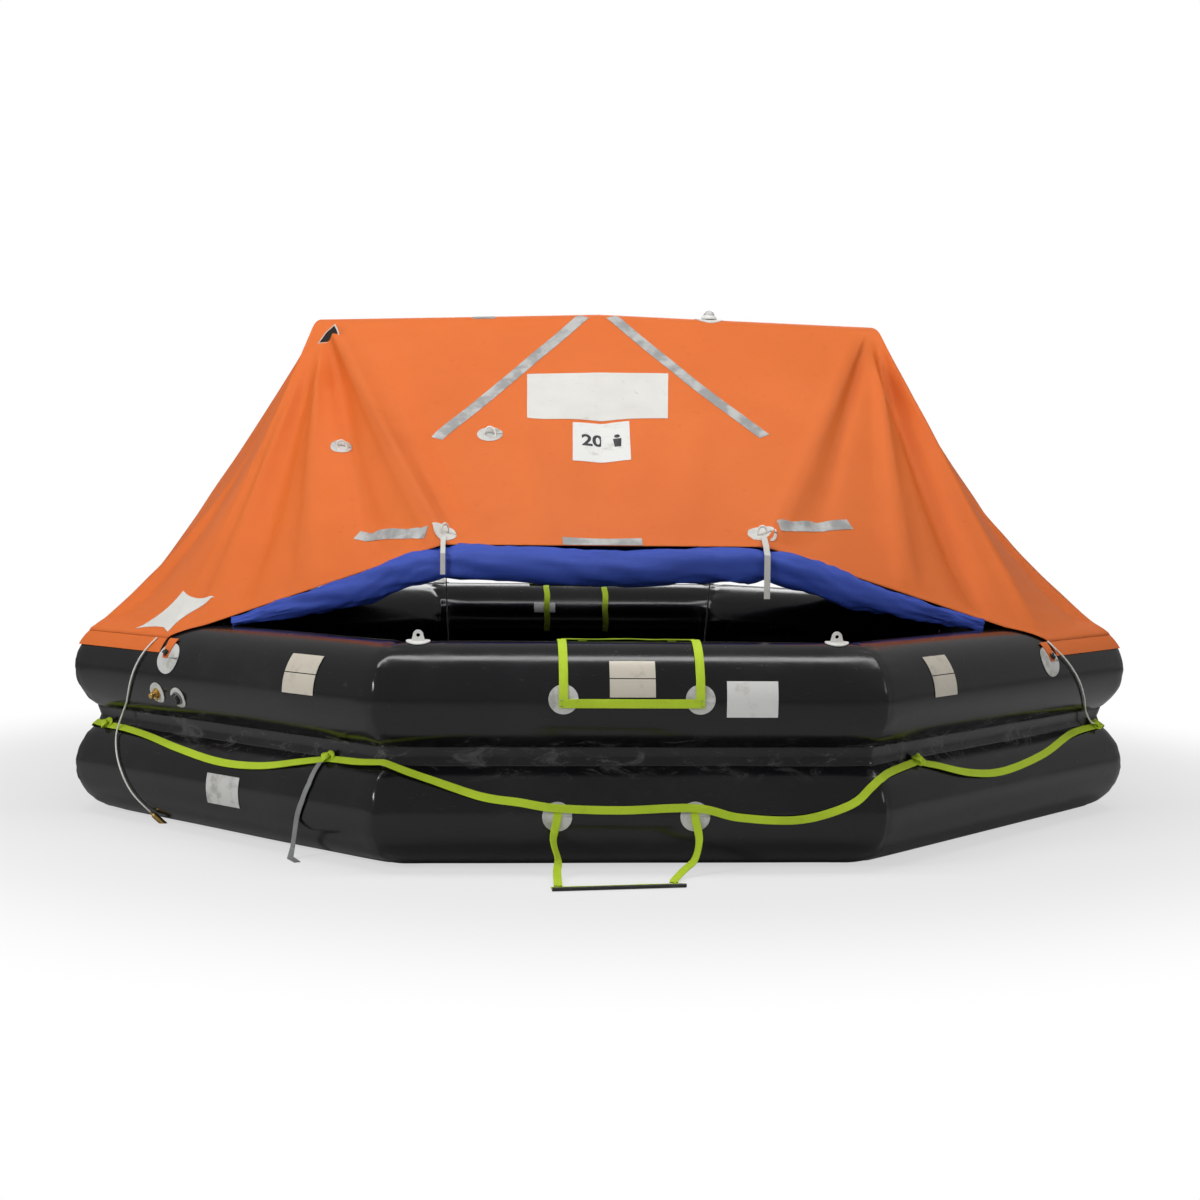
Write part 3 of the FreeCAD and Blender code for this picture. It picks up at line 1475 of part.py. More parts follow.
def grey_loop():
    # A flat webbing strop over the lifeline, down the tube and out along the ground.
    stations = line_stations(GREY_ROUTE, gap * 2 + 0.2 + size("webbing_thickness").value)
    outward, along_way = side_frame(FRONT_LEFT)
    last = Vector(stations[-1][0].x, stations[-1][0].y, 0)
    stations.append((last - along_way * 14 + outward * 4 + Vector(0, 0, 34), outward))
    stations.append((last + outward * 26 + Vector(0, 0, 4), Vector(0, 0, 1) + outward * 0.3))
    stations.append((last + along_way * 56 + outward * 44 + Vector(0, 0, gap), Vector(0, 0, 1)))
    rings = []
    for index, (place, out) in enumerate(stations):
        run = stations[min(len(stations) - 1, index + 1)][0] - stations[max(0, index - 1)][0]
        rings.append((place, run.cross(out), out))
    return piece("grey_webbing_loop", ribbon(rings, 20, size("webbing_thickness").value - 1))


grey_loop()


# Write every piece

doc.recompute()
os.makedirs("parts", exist_ok=True)
for thing in doc.Objects:
    if {"Invalid", "Error"} & set(thing.State):
        raise RuntimeError(f"{thing.Label}: {thing.State}")
nodes = [thing for thing in doc.Objects
         if thing.TypeId == "PartDesign::Body" or (thing.TypeId == "Part::Feature" and not thing.InList)]
for node in nodes:
    shape = node.Shape
    if shape.isNull() or not shape.isValid():
        raise RuntimeError(f"{node.Label}: bad shape")
    shape.exportStep(f"parts/{node.Label}.step")
    print(node.Label, len(shape.Solids), round(shape.Volume / 1e3), "cm3")
print(len(nodes), "nodes")
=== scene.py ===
import math

import bpy
from mathutils import Matrix, Vector, noise
from mathutils.bvhtree import BVHTree


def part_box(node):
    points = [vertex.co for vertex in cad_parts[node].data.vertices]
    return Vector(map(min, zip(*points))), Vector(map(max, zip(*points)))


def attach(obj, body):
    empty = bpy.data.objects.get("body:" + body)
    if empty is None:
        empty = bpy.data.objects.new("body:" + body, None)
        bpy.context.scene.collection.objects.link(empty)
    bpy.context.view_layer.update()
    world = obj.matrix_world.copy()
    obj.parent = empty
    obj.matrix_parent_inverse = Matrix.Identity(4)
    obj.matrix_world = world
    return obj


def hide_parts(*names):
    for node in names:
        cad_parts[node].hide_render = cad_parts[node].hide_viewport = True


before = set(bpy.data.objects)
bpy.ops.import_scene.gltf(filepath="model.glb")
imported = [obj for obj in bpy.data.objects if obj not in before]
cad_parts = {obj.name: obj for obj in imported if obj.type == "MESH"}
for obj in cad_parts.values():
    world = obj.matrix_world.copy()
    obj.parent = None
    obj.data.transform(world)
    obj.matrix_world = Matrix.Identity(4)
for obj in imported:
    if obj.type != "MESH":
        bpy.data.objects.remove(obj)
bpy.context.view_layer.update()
raftBody = "raft"
print("frame loaded:", len(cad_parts), "nodes")


# small helpers

def selectOnly(*objs):
    # selects these objects alone, the first of them active
    if bpy.context.object and bpy.context.object.mode != "OBJECT":
        bpy.ops.object.mode_set(mode="OBJECT")
    bpy.ops.object.select_all(action="DESELECT")
    for obj in objs:
        obj.select_set(True)
    bpy.context.view_layer.objects.active = objs[0]


def editWhole(obj, *operators):
    # runs mesh operators, each with its settings, on the whole of a mesh
    selectOnly(obj)
    bpy.ops.object.mode_set(mode="EDIT")
    bpy.ops.mesh.select_all(action="SELECT")
    for operator, settings in operators:
        operator(**settings)
    bpy.ops.object.mode_set(mode="OBJECT")


def applyPlace(obj):
    selectOnly(obj)
    bpy.ops.object.transform_apply(location=True, rotation=True, scale=True)


def shadeSmooth(obj, angle=None):
    selectOnly(obj)
    if angle is None:
        bpy.ops.object.shade_smooth()
    else:
        bpy.ops.object.shade_smooth_by_angle(angle=math.radians(angle))


def declare(obj, slot=None, replaced=()):
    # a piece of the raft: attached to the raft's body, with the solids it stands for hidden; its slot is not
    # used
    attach(obj, raftBody)
    if replaced:
        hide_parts(*replaced)
    return obj


def dress(obj, material, slot=None, replaced=()):
    obj.data.materials.clear()
    obj.data.materials.append(material)
    return declare(obj, slot, replaced)


def joined(name, pieces, slot, replaced=()):
    # several dressed meshes as one piece
    selectOnly(*pieces)
    if len(pieces) > 1:
        bpy.ops.object.join()
    pieces[0].name = name
    return declare(pieces[0], slot, replaced)


def ease(low, high, value):
    share = max(0.0, min(1.0, (value - low) / (high - low)))
    return share * share * (3 - 2 * share)


def mixed(first, last, share):
    return first + (last - first) * share


# shader maths

class Wire:
    # a socket that can be written with in plain maths
    def __init__(self, kit, socket):
        self.kit = kit
        self.socket = socket

    def maths(self, operation, *values):
        return self.kit.node("ShaderNodeMath", {"operation": operation}, dict(enumerate(values)))

    def __add__(self, other):
        return self.maths("ADD", self, other)

    def __radd__(self, other):
        return self.maths("ADD", other, self)

    def __sub__(self, other):
        return self.maths("SUBTRACT", self, other)

    def __rsub__(self, other):
        return self.maths("SUBTRACT", other, self)

    def __mul__(self, other):
        return self.maths("MULTIPLY", self, other)

    def __rmul__(self, other):
        return self.maths("MULTIPLY", other, self)

    def above(self, level, soft=0.05):
        # 0 below the level and 1 above it, with a soft edge
        return self.kit.node("ShaderNodeMapRange", {"interpolation_type": "SMOOTHSTEP"},
                             {0: self, 1: level - soft, 2: level + soft, 3: 0.0, 4: 1.0})


class Finish:
    # one material, whose nodes are made by one method
    def __init__(self, name, **plain):
        self.material = bpy.data.materials.new(name)
        self.material.use_nodes = True
        self.tree = self.material.node_tree
        self.shader = self.tree.nodes["Principled BSDF"]
        for socket, value in plain.items():
            self.set(socket.replace("_", " "), value)
        self.place = self.node("ShaderNodeTexCoord", {}, {}, "Object")

    def node(self, kind, settings, sockets, output=0):
        made = self.tree.nodes.new(kind)
        for key, value in settings.items():
            setattr(made, key, value)
        for key, value in sockets.items():
            if isinstance(value, Wire):
                self.tree.links.new(value.socket, made.inputs[key])
            else:
                made.inputs[key].default_value = value
        return Wire(self, made.outputs[output])

    def set(self, socket, value):
        if isinstance(value, Wire):
            self.tree.links.new(value.socket, self.shader.inputs[socket])
        elif socket == "Base Color":
            self.shader.inputs[socket].default_value = (*value, 1)
        else:
            self.shader.inputs[socket].default_value = value

    def noise(self, scale, detail=4.0, rough=0.55, stretch=None, warp=0.0):
        place = self.place
        if stretch:
            place = self.node("ShaderNodeMapping", {}, {"Vector": place, "Scale": stretch})
        return self.node("ShaderNodeTexNoise", {}, {"Vector": place, "Scale": scale, "Detail": detail,
                                                    "Roughness": rough, "Distortion": warp})

    def axis(self, index):
        return self.node("ShaderNodeSeparateXYZ", {}, {0: self.place}, index)

    def near(self, spot, reach, soft):
        # 1 within reach of a place, fading to 0 over the soft width
        away = self.node("ShaderNodeVectorMath", {"operation": "DISTANCE"},
                         {0: self.place, 1: spot}, "Value")
        return self.node("ShaderNodeMapRange", {"interpolation_type": "SMOOTHSTEP"},
                         {0: away, 1: reach, 2: reach + soft, 3: 1.0, 4: 0.0})

    def blend(self, first, second, share):
        made = self.tree.nodes.new("ShaderNodeMix")
        made.data_type = "RGBA"
        for index, value in ((0, share), (6, first), (7, second)):
            if isinstance(value, Wire):
                self.tree.links.new(value.socket, made.inputs[index])
            elif index:
                made.inputs[index].default_value = (*value, 1)
            else:
                made.inputs[index].default_value = value
        return Wire(self, made.outputs[2])

    def bump(self, height, distance, strength=1.0):
        self.set("Normal", self.node("ShaderNodeBump", {}, {"Height": height, "Distance": distance,
                                                            "Strength": strength}))


# raft measures, in metres: what the cloth and the tubes are built round
raft = {
    "width": 3.75,
    "tube": 0.345,
    "flat": 0.0015,
    "clear": 0.0003,
    "cloth": 0.003,
    "archRadius": 0.1,
    "archHalf": 1.017,
    "ridgeHeight": 1.795,
    "ridgeBow": 0.034,
    "legSlope": 59.4,
    "foldRoom": 0.0006,
    "hemRoom": 0.003,
}
tubeRadius = raft["tube"] / 2
apothem = (raft["width"] - raft["tube"]) / 2
lowerHeight = tubeRadius - raft["flat"]
jointHeight = lowerHeight * 2
upperHeight = lowerHeight * 3
halfTurn = math.tan(math.radians(22.5))
front, frontLeft, left, rearLeft, rear, rearRight, right, frontRight = range(8)


def sideFrame(side):
    heading = math.radians(-90 - side * 45)
    outward = Vector((math.cos(heading), math.sin(heading), 0))
    return outward, Vector((-outward.y, outward.x, 0))


def radialWay(side, angle):
    outward = sideFrame(side)[0]
    return outward * math.cos(math.radians(angle)) + Vector((0, 0, math.sin(math.radians(angle))))


def tubePoint(side, along, angle, height, lift=0.0):
    outward, alongWay = sideFrame(side)
    middle = outward * apothem + Vector((0, 0, height)) + alongWay * along
    return middle + radialWay(side, angle) * (tubeRadius + lift)


# mesh helpers: every soft piece is laid out as rows of places

def makeMesh(name, points, faces, uvs=None):
    mesh = bpy.data.meshes.new(name)
    mesh.from_pydata([tuple(point) for point in points], [], faces)
    mesh.update()
    if uvs:
        layer = mesh.uv_layers.new(name="cloth")
        for loop in mesh.loops:
            layer.data[loop.index].uv = uvs[loop.vertex_index]
    obj = bpy.data.objects.new(name, mesh)
    bpy.context.scene.collection.objects.link(obj)
    return obj


def tidyMesh(obj, merge=0.00005, angle=None):
    # merges doubles, turns the faces outwards and shades the piece
    editWhole(obj, (bpy.ops.mesh.remove_doubles, {"threshold": merge}),
              (bpy.ops.mesh.normals_make_consistent, {"inside": False}))
    shadeSmooth(obj, angle)
    return obj


def gridFaces(rows, wide):
    starts = [row * wide + column for row in range(rows - 1) for column in range(wide - 1)]
    return [(start, start + 1, start + wide + 1, start + wide) for start in starts]


def runAt(line, index):
    # the way a line runs at one of its places
    return line[min(len(line) - 1, index + 1)] - line[max(0, index - 1)]


def loftRings(name, rings, closed=False, caps=True, angle=None):
    # a skin through rings of places; closed joins the last ring to the first
    count = len(rings[0])
    points = [point for ring in rings for point in ring]
    uvs = []
    travel = 0.0
    for index, ring in enumerate(rings):
        travel += (ring[0] - rings[index - 1][0]).length if index else 0.0
        girth = sum((ring[turn] - ring[turn - 1]).length for turn in range(count))
        uvs += [(travel, girth * turn / count) for turn in range(count)]
    faces = []
    for index in range(len(rings) if closed else len(rings) - 1):
        here, after = index * count, (index + 1) % len(rings) * count
        for turn in range(count):
            beside = (turn + 1) % count
            faces.append((here + turn, here + beside, after + beside, after + turn))
    if caps and not closed:
        faces.append(tuple(range(count)))
        faces.append(tuple(reversed(range(len(points) - count, len(points)))))
    return tidyMesh(makeMesh(name, points, faces, uvs), angle=angle)


def slab(name, grid, low, high, angle=35):
    # a closed thin sheet between two heights over rows of (place, way out)
    rows, wide = len(grid), len(grid[0])
    points, uvs = [], []
    for lift in (high, low):
        travel = 0.0
        for index, row in enumerate(grid):
            travel += (row[0][0] - grid[index - 1][0][0]).length if index else 0.0
            across = 0.0
            for column, (place, out) in enumerate(row):
                across += (place - row[column - 1][0]).length if column else 0.0
                points.append(place + out * lift)
                uvs.append((travel, across))
    half = rows * wide
    faces = gridFaces(rows, wide)
    faces += [tuple(half + number for number in reversed(ring)) for ring in faces]
    rim = list(range(wide)) + [row * wide + wide - 1 for row in range(1, rows)]
    rim += [(rows - 1) * wide + column for column in range(wide - 2, -1, -1)]
    rim += [row * wide for row in range(rows - 2, 0, -1)]
    for first, last in zip(rim, rim[1:] + rim[:1]):
        faces.append((last, first, half + first, half + last))
    return tidyMesh(makeMesh(name, points, faces, uvs), merge=0.000001, angle=angle)


def roundSlab(name, grid, low, high):
    # a sheet whose rows are closed rings
    disc = slab(name, grid, low, high)
    editWhole(disc, (bpy.ops.mesh.remove_doubles, {"threshold": 0.00005}))
    return disc


def smoothLine(places, steps=8):
    # a smooth line through the places, each step a Catmull-Rom point
    line = []
    for index in range(len(places) - 1):
        before = places[max(0, index - 1)]
        first, last = places[index], places[index + 1]
        after = places[min(len(places) - 1, index + 2)]
        for step in range(steps):
            share = step / steps
            line.append(0.5 * ((2 * first) + (last - before) * share
                               + (2 * before - 5 * first + 4 * last - after) * share ** 2
                               + (3 * first - before - 3 * last + after) * share ** 3))
    line.append(places[-1].copy())
    return line


def webbing(name, line, outs, width, thickness, ripple=0.0):
    # flat webbing along a line, with slightly raised selvedges; outs point out of its face
    selvedge = (-0.12, 0.1, 0, 0, 0, 0.1, -0.12)
    grid = []
    for index, place in enumerate(line):
        run = runAt(line, index)
        across = run.cross(outs[index].normalized()).normalized()
        out = across.cross(run).normalized()
        row = []
        for column, edge in enumerate(selvedge):
            sway = abs(ripple * noise.noise(place * 9 + Vector((column * 0.4, 0, 0))))
            aside = across * (width / 2 * (column / 3 - 1))
            row.append((place + aside + out * (edge * thickness + sway), out))
        grid.append(row)
    return slab(name, grid, 0, thickness, angle=60)


# finishes

def rubberFinish(name, joint=True):
    kit = Finish(name, Specular_IOR_Level=0.42)
    haze = kit.noise(2.2, 5, 0.6).above(0.6, 0.14)
    scuff = kit.noise(26, 6, 0.7, stretch=(1, 1, 3)).above(0.67, 0.07)
    fine = kit.noise(240, 3, 0.5)
    colour = kit.blend((0.0048, 0.0049, 0.0058), (0.012, 0.012, 0.0135), haze)
    colour = kit.blend(colour, (0.04, 0.04, 0.041), scuff * 0.3)
    rough = 0.17 + haze * 0.1 + scuff * 0.2
    if joint:
        # glue haze along the joint between the tubes
        away = kit.axis(2) - jointHeight
        away = away.maths("ABSOLUTE", away)
        near = 1 - kit.node("ShaderNodeMapRange", {"interpolation_type": "SMOOTHSTEP"},
                            {0: away, 1: 0.02, 2: 0.085})
        smear = kit.noise(7, 7, 0.72, stretch=(1, 1, 2.5), warp=1.2).above(0.6, 0.1) * near
        colour = kit.blend(colour, (0.16, 0.155, 0.15), smear * 0.4)
        rough = rough + smear * 0.3
    kit.set("Base Color", colour)
    kit.set("Roughness", rough)
    broad = kit.noise(9, 4, 0.5)
    kit.bump(broad * 0.8 + fine * 0.06, 0.003, 0.25)
    return kit.material


def weaveHeight(kit, pitch):
    # warp and weft threads along the piece's own cloth map, pitch in metres
    place = kit.node("ShaderNodeUVMap", {"uv_map": "cloth"}, {})
    warp, weft = [kit.node("ShaderNodeTexWave", {"bands_direction": way},
                           {"Vector": place, "Scale": 0.314 / pitch, "Distortion": 0.6, "Detail": 1.0}, 1)
                  for way in ("X", "Y")]
    return warp * 0.5 + weft * 0.5


def clothFinish(name, base, dark, dirt, pitch, rough=0.6, patch=1.6, weave=True):
    kit = Finish(name)
    broad = kit.noise(patch, 5, 0.6)
    colour = kit.blend(base, dark, broad.above(0.55, 0.25) * 0.45)
    speck = kit.noise(38, 6, 0.7).above(0.66, 0.07)
    colour = kit.blend(colour, dirt, speck * 0.3)
    height = kit.noise(60, 4, 0.6) * 0.3
    if weave:
        threads = weaveHeight(kit, pitch)
        colour = kit.blend(colour, dark, (1 - threads) * 0.22)
        height = height + threads
    kit.set("Base Color", colour)
    kit.set("Roughness", rough + (broad - 0.5) * 0.25 + speck * 0.1)
    kit.bump(height, 0.0012, 0.6)
    return kit.material


def plainFinish(name, base, worn, rough, metal=0.0, grain=90.0, wear=0.6, depth=0.0006, **more):
    kit = Finish(name, Metallic=metal, **more)
    marks = kit.noise(14, 6, 0.68).above(wear, 0.09)
    colour = kit.blend(base, worn, marks * 0.6)
    kit.set("Base Color", colour)
    kit.set("Roughness", rough + marks * 0.2 + (kit.noise(5, 4) - 0.5) * 0.12)
    kit.bump(kit.noise(grain, 4, 0.6), depth, 0.5)
    return kit.material


finishes = {
    "rubber": rubberFinish("black_rubber"),
    "innerRubber": rubberFinish("floor_rubber", joint=False),
    "orange": clothFinish("orange_canopy_cloth", (0.78, 0.158, 0.011), (0.62, 0.108, 0.006),
                          (0.4, 0.09, 0.02), 0.0022, rough=0.52, patch=1.3),
    "blue": clothFinish("blue_door_cloth", (0.03, 0.08, 0.5), (0.015, 0.04, 0.28), (0.05, 0.06, 0.12),
                        0.0022, 0.55),
    "lime": clothFinish("lime_webbing", (0.57, 0.78, 0.025), (0.36, 0.52, 0.01), (0.28, 0.28, 0.06),
                        0.0016, 0.7, 6),
    "white": clothFinish("white_cloth", (0.76, 0.75, 0.71), (0.6, 0.58, 0.53), (0.32, 0.29, 0.24),
                         0.002, 0.6, 5),
    "greyWeb": clothFinish("grey_webbing", (0.3, 0.31, 0.31), (0.16, 0.16, 0.16), (0.1, 0.1, 0.09),
                           0.0016, 0.75, 8),
    "cord": clothFinish("white_cord", (0.76, 0.75, 0.7), (0.5, 0.48, 0.43), (0.3, 0.27, 0.22),
                        0.002, 0.65, 9, weave=False),
    "tape": plainFinish("silver_tape", (0.36, 0.365, 0.36), (0.62, 0.62, 0.6), 0.34, 0.35, 160, 0.5,
                        depth=0.002),
    "patch": plainFinish("grey_patch", (0.56, 0.56, 0.54), (0.26, 0.25, 0.22), 0.55, 0.0, 120, 0.55),
    "beige": plainFinish("beige_reflective", (0.62, 0.57, 0.48), (0.36, 0.32, 0.26), 0.32, 0.15, 300),
    "label": plainFinish("pale_label", (0.72, 0.72, 0.7), (0.45, 0.43, 0.4), 0.4, 0.0, 60, 0.62),
    "blackPlastic": plainFinish("black_plastic", (0.012, 0.012, 0.012), (0.06, 0.06, 0.06), 0.38),
    "whitePlastic": plainFinish("white_plastic", (0.74, 0.74, 0.71), (0.45, 0.43, 0.38), 0.42),
    "lens": plainFinish("clear_lens", (0.8, 0.82, 0.82), (0.6, 0.62, 0.6), 0.12, 0, 50, 0.7,
                        Transmission_Weight=0.5, IOR=1.45),
    "valve": plainFinish("valve_grey", (0.14, 0.145, 0.15), (0.3, 0.3, 0.3), 0.4),
    "brass": plainFinish("brass", (0.56, 0.37, 0.12), (0.3, 0.2, 0.08), 0.32, 1.0, 120, 0.55),
    "print": plainFinish("dark_print", (0.02, 0.02, 0.025), (0.08, 0.08, 0.08), 0.55),
    # painted shade: a near-black finish for the sheet that stands in for the shade inside the vent
    "dark": plainFinish("painted_shade_fill", (0.01, 0.009, 0.009), (0.03, 0.02, 0.02), 0.7),
}
print("finishes made:", len(finishes))


# camera, light and floor

view = {
    "place": (-0.4556, -7.5901, 1.1718),
    "yaw": -0.06222,
    "pitch": 0.06083,
    "roll": -0.00957,
    "lens": 57.744,
}
# lamps: place, aim, size and power
lamps = {
    "overhead": ((0.0, -1.6, 5.2), (0, -0.4, 0.4), (6.5, 0.9), 150),
    "front_left": ((-5.5, -5.0, 3.6), (0, 0, 0.9), (1.6, 1.6), 165),
    "front_right": ((5.5, -5.5, 3.2), (0, 0, 0.8), (2.0, 2.0), 45),
    "behind": ((1.0, 6.5, 4.0), (0, 0, 0.9), (4.0, 2.0), 90),
}
studio = {
    "worldLevel": 0.36,
    "floorSize": 60,
    "shadowReach": 2.2,
    "shadowFade": 1.3,
    "floorWhite": 0.6,
}


def addCamera():
    yaw, pitch, roll = view["yaw"], view["pitch"], view["roll"]
    side = Vector((math.cos(yaw), math.sin(yaw), 0))
    ahead = Vector((-math.sin(yaw) * math.cos(pitch), math.cos(yaw) * math.cos(pitch), -math.sin(pitch)))
    up = Vector((-math.sin(yaw) * math.sin(pitch), math.cos(yaw) * math.sin(pitch), math.cos(pitch)))
    across = side * math.cos(roll) - up * math.sin(roll)
    upright = side * math.sin(roll) + up * math.cos(roll)
    turn = Matrix((across, upright, -ahead)).transposed().to_4x4()
    bpy.ops.object.camera_add()
    camera = bpy.context.object
    camera.name = "front_view"
    camera.matrix_world = Matrix.Translation(view["place"]) @ turn
    camera.data.lens = view["lens"]
    camera.data.clip_end = 100
    bpy.context.scene.camera = camera


def addLamp(name, place, aim, size, power):
    bpy.ops.object.light_add(type="AREA", location=place)
    lamp = bpy.context.object
    lamp.name = name
    lamp.rotation_euler = (Vector(aim) - Vector(place)).to_track_quat("-Z", "Y").to_euler()
    lamp.data.shape = "RECTANGLE"
    lamp.data.size, lamp.data.size_y = size
    lamp.data.energy = power


def addStudio():
    for name, values in lamps.items():
        addLamp(name, *values)
    world = bpy.data.worlds.new("studio")
    bpy.context.scene.world = world
    world.use_nodes = True
    tree = world.node_tree
    back = tree.nodes["Background"]
    path = tree.nodes.new("ShaderNodeLightPath")
    seen = tree.nodes.new("ShaderNodeMath")
    seen.operation = "MAXIMUM"
    tree.links.new(path.outputs["Is Camera Ray"], seen.inputs[0])
    tree.links.new(path.outputs["Is Transmission Ray"], seen.inputs[1])
    level = tree.nodes.new("ShaderNodeMapRange")
    tree.links.new(seen.outputs[0], level.inputs[0])
    level.inputs[3].default_value = studio["worldLevel"]
    level.inputs[4].default_value = 1.0
    tree.links.new(level.outputs[0], back.inputs["Strength"])
    back.inputs["Color"].default_value = (1, 1, 1, 1)
    bpy.ops.mesh.primitive_plane_add(size=studio["floorSize"], location=(0, 0, -0.001))
    floor = bpy.context.object
    floor.name = "studio_floor"
    kit = Finish("studio_floor", Roughness=0.9, Specular_IOR_Level=0.1)
    kit.set("Base Color", kit.blend((0.62, 0.62, 0.62), (0.6, 0.6, 0.6), kit.noise(0.8)))
    white = kit.node("ShaderNodeEmission", {}, {"Color": (1, 1, 1, 1), "Strength": 1.0})
    seen = kit.node("ShaderNodeLightPath", {}, {}, "Is Camera Ray")
    # the floor turns plain white beyond the raft's shadow
    far = 1 - kit.near((0, 0, 0), studio["shadowReach"], studio["shadowFade"])
    share = seen * (studio["floorWhite"] + far * (1 - studio["floorWhite"]))
    shown = kit.node("ShaderNodeMixShader", {}, {0: share, 1: Wire(kit, kit.shader.outputs[0]), 2: white})
    kit.tree.links.new(shown.socket, kit.tree.nodes["Material Output"].inputs["Surface"])
    floor.data.materials.append(kit.material)


bpy.context.scene.view_settings.view_transform = "Standard"
addCamera()
addStudio()
print("camera and light made")


# buoyancy tubes and the bands that join them

tubes = {
    "around": 84,
    "along": 44,
    "pucker": 0.0042,
    "puckerReach": 0.055,
    "seamDip": 0.003,
    "swell": 0.0012,
    "bandAlong": 34,
    "bandFold": 0.0016,
}


def sweepOctagon(name, profile, shape, steps):
    # a closed profile of (out, up) carried round all eight sides and mitred at the corners
    evens = [step / steps * 2 - 1 for step in range(steps)]
    shares = [mixed(even, math.sin(even * math.pi / 2), 0.75) for even in evens]
    rings = []
    for side in range(8):
        outward, alongWay = sideFrame(side)
        for share in shares:
            ring = []
            for turn, (out, up) in enumerate(profile):
                reach = out * halfTurn
                place = outward * out + alongWay * (reach * -share) + Vector((0, 0, up))
                ring.append(shape(place, side, reach * (1 - abs(share)), turn, outward))
            rings.append(ring)
    return loftRings(name, rings, closed=True)


def tubeProfile(height):
    angles = [math.tau * turn / tubes["around"] for turn in range(tubes["around"])]
    return [(apothem + tubeRadius * math.cos(angle), height + tubeRadius * math.sin(angle))
            for angle in angles]


def tubeShape(height, low, high):
    # draws the mitre seams in a little, with puckers that die away from them
    def shape(place, side, away, turn, outward):
        angle = math.tau * turn / tubes["around"]
        radial = outward * math.cos(angle) + Vector((0, 0, math.sin(angle)))
        inner = 0.5 - 0.5 * math.cos(angle)
        fade = math.exp(-away / tubes["puckerReach"])
        ripple = noise.noise(Vector((side * 7.1 + height, angle * 5.5, away * 7)))
        fine = noise.noise(Vector((side * 3.3 + height * 2, angle * 13, away * 16)))
        dent = tubes["seamDip"] * math.exp(-(away / 0.016) ** 2)
        pull = tubes["pucker"] * (ripple * 1.2 + fine * 0.7 - 0.35) * fade * (0.55 + inner)
        swell = tubes["swell"] * (noise.noise(place * 1.9) - 1)
        moved = place + radial * (min(pull, 0.0015) - dent + swell)
        moved.z = max(low, min(high, moved.z))
        return moved
    return shape


def bandShape(place, side, away, turn, outward):
    return place + outward * (tubes["bandFold"] * noise.noise(place * 11))


def bandProfile(angle, way):
    # the strip in the groove, glued to both tubes this many degrees from their middles
    reach = tubeRadius + 0.0012
    edge = apothem + way * reach * math.cos(math.radians(angle))
    rise = reach * math.sin(math.radians(angle))
    low, high = lowerHeight + rise, upperHeight - rise
    outer = [(edge + way * 0.006, low - 0.016), (edge + way * 0.0012, low + 0.002),
             (edge - way * 0.006, jointHeight), (edge + way * 0.0012, high - 0.002),
             (edge + way * 0.006, high + 0.016)]
    inner = [(out - way * 0.0025, up) for out, up in reversed(outer)]
    inner[0] = (outer[-1][0] - way * 0.0016, outer[-1][1] - 0.001)
    inner[-1] = (outer[0][0] - way * 0.0016, outer[0][1] + 0.001)
    return outer + inner


def addTubes():
    for tag, height, low, high in (("lower", lowerHeight, 0.0, jointHeight - 0.0002),
                                   ("upper", upperHeight, jointHeight + 0.0002, 2.0)):
        shape = tubeShape(height, low, high)
        skin = sweepOctagon(f"{tag}_tube_skin", tubeProfile(height), shape, tubes["along"])
        dress(skin, finishes["rubber"], slot="black_tube", replaced=(f"{tag}_buoyancy_tube",))
    for tag, angle, way in (("outer", 58, 1), ("inner", 76, -1)):
        band = sweepOctagon(f"{tag}_band_skin", bandProfile(angle, way), bandShape, tubes["bandAlong"])
        dress(band, finishes["rubber"], slot="black_tube", replaced=(f"{tag}_joining_band",))


addTubes()
print("tubes made")


# canopy: columns of cloth from the ridge to the door edges and the hem

cloth = {
    "tieLeft": 0.578,
    "tieRight": 0.483,
    "rearTie": 0.6,
    "tieSetback": 0.4215,
    "tieHeight": 0.966,
    "cornerAlong": 0.3,
    "hemAngle": 46,
    "cornerSag": 0.145,
    "legSag": 0.02,
    "frontSag": 0.026,
    "thickness": 0.0014,
    "hemTop": 45.8,
    "hemLow": 27,
    "skirtFlat": 0.057,
    "skirtThickness": 0.0016,
    "pucker": 0.0011,
    "rows": 88,
    "wing": 26,
    "middle": 40,
    "sideMiddle": 34,
    "sideCorner": 14,
}
clothLift = raft["clear"] + raft["cloth"]
wrapRadius = raft["archRadius"] + raft["clear"] + raft["cloth"] + raft["foldRoom"]
cornerReach = raft["archHalf"] + raft["archRadius"] * math.tan(math.radians(raft["legSlope"] / 2))
tieReach = apothem - cloth["tieSetback"]
archHeight = raft["ridgeHeight"] - raft["cloth"] - raft["clear"] - raft["archRadius"]
legFoot = raft["archHalf"] + (archHeight - upperHeight) / math.tan(math.radians(raft["legSlope"]))
archLine = [Vector((0, 0, archHeight + raft["ridgeBow"])), Vector((raft["archHalf"], 0, archHeight)),
            Vector((legFoot, 0, upperHeight))]


def ridgePoint(across):
    rise = raft["ridgeBow"] * (1 - abs(across))
    return Vector((cornerReach * across, 0, raft["ridgeHeight"] + rise))


def aroundTube(point, height):
    # the nearest side's two ways, and how far out of its tube's middle line and above it a place lies
    side = max(range(8), key=lambda index: sideFrame(index)[0].dot(point))
    outward, alongWay = sideFrame(side)
    return outward, alongWay, outward.dot(point) - apothem, point.z - height


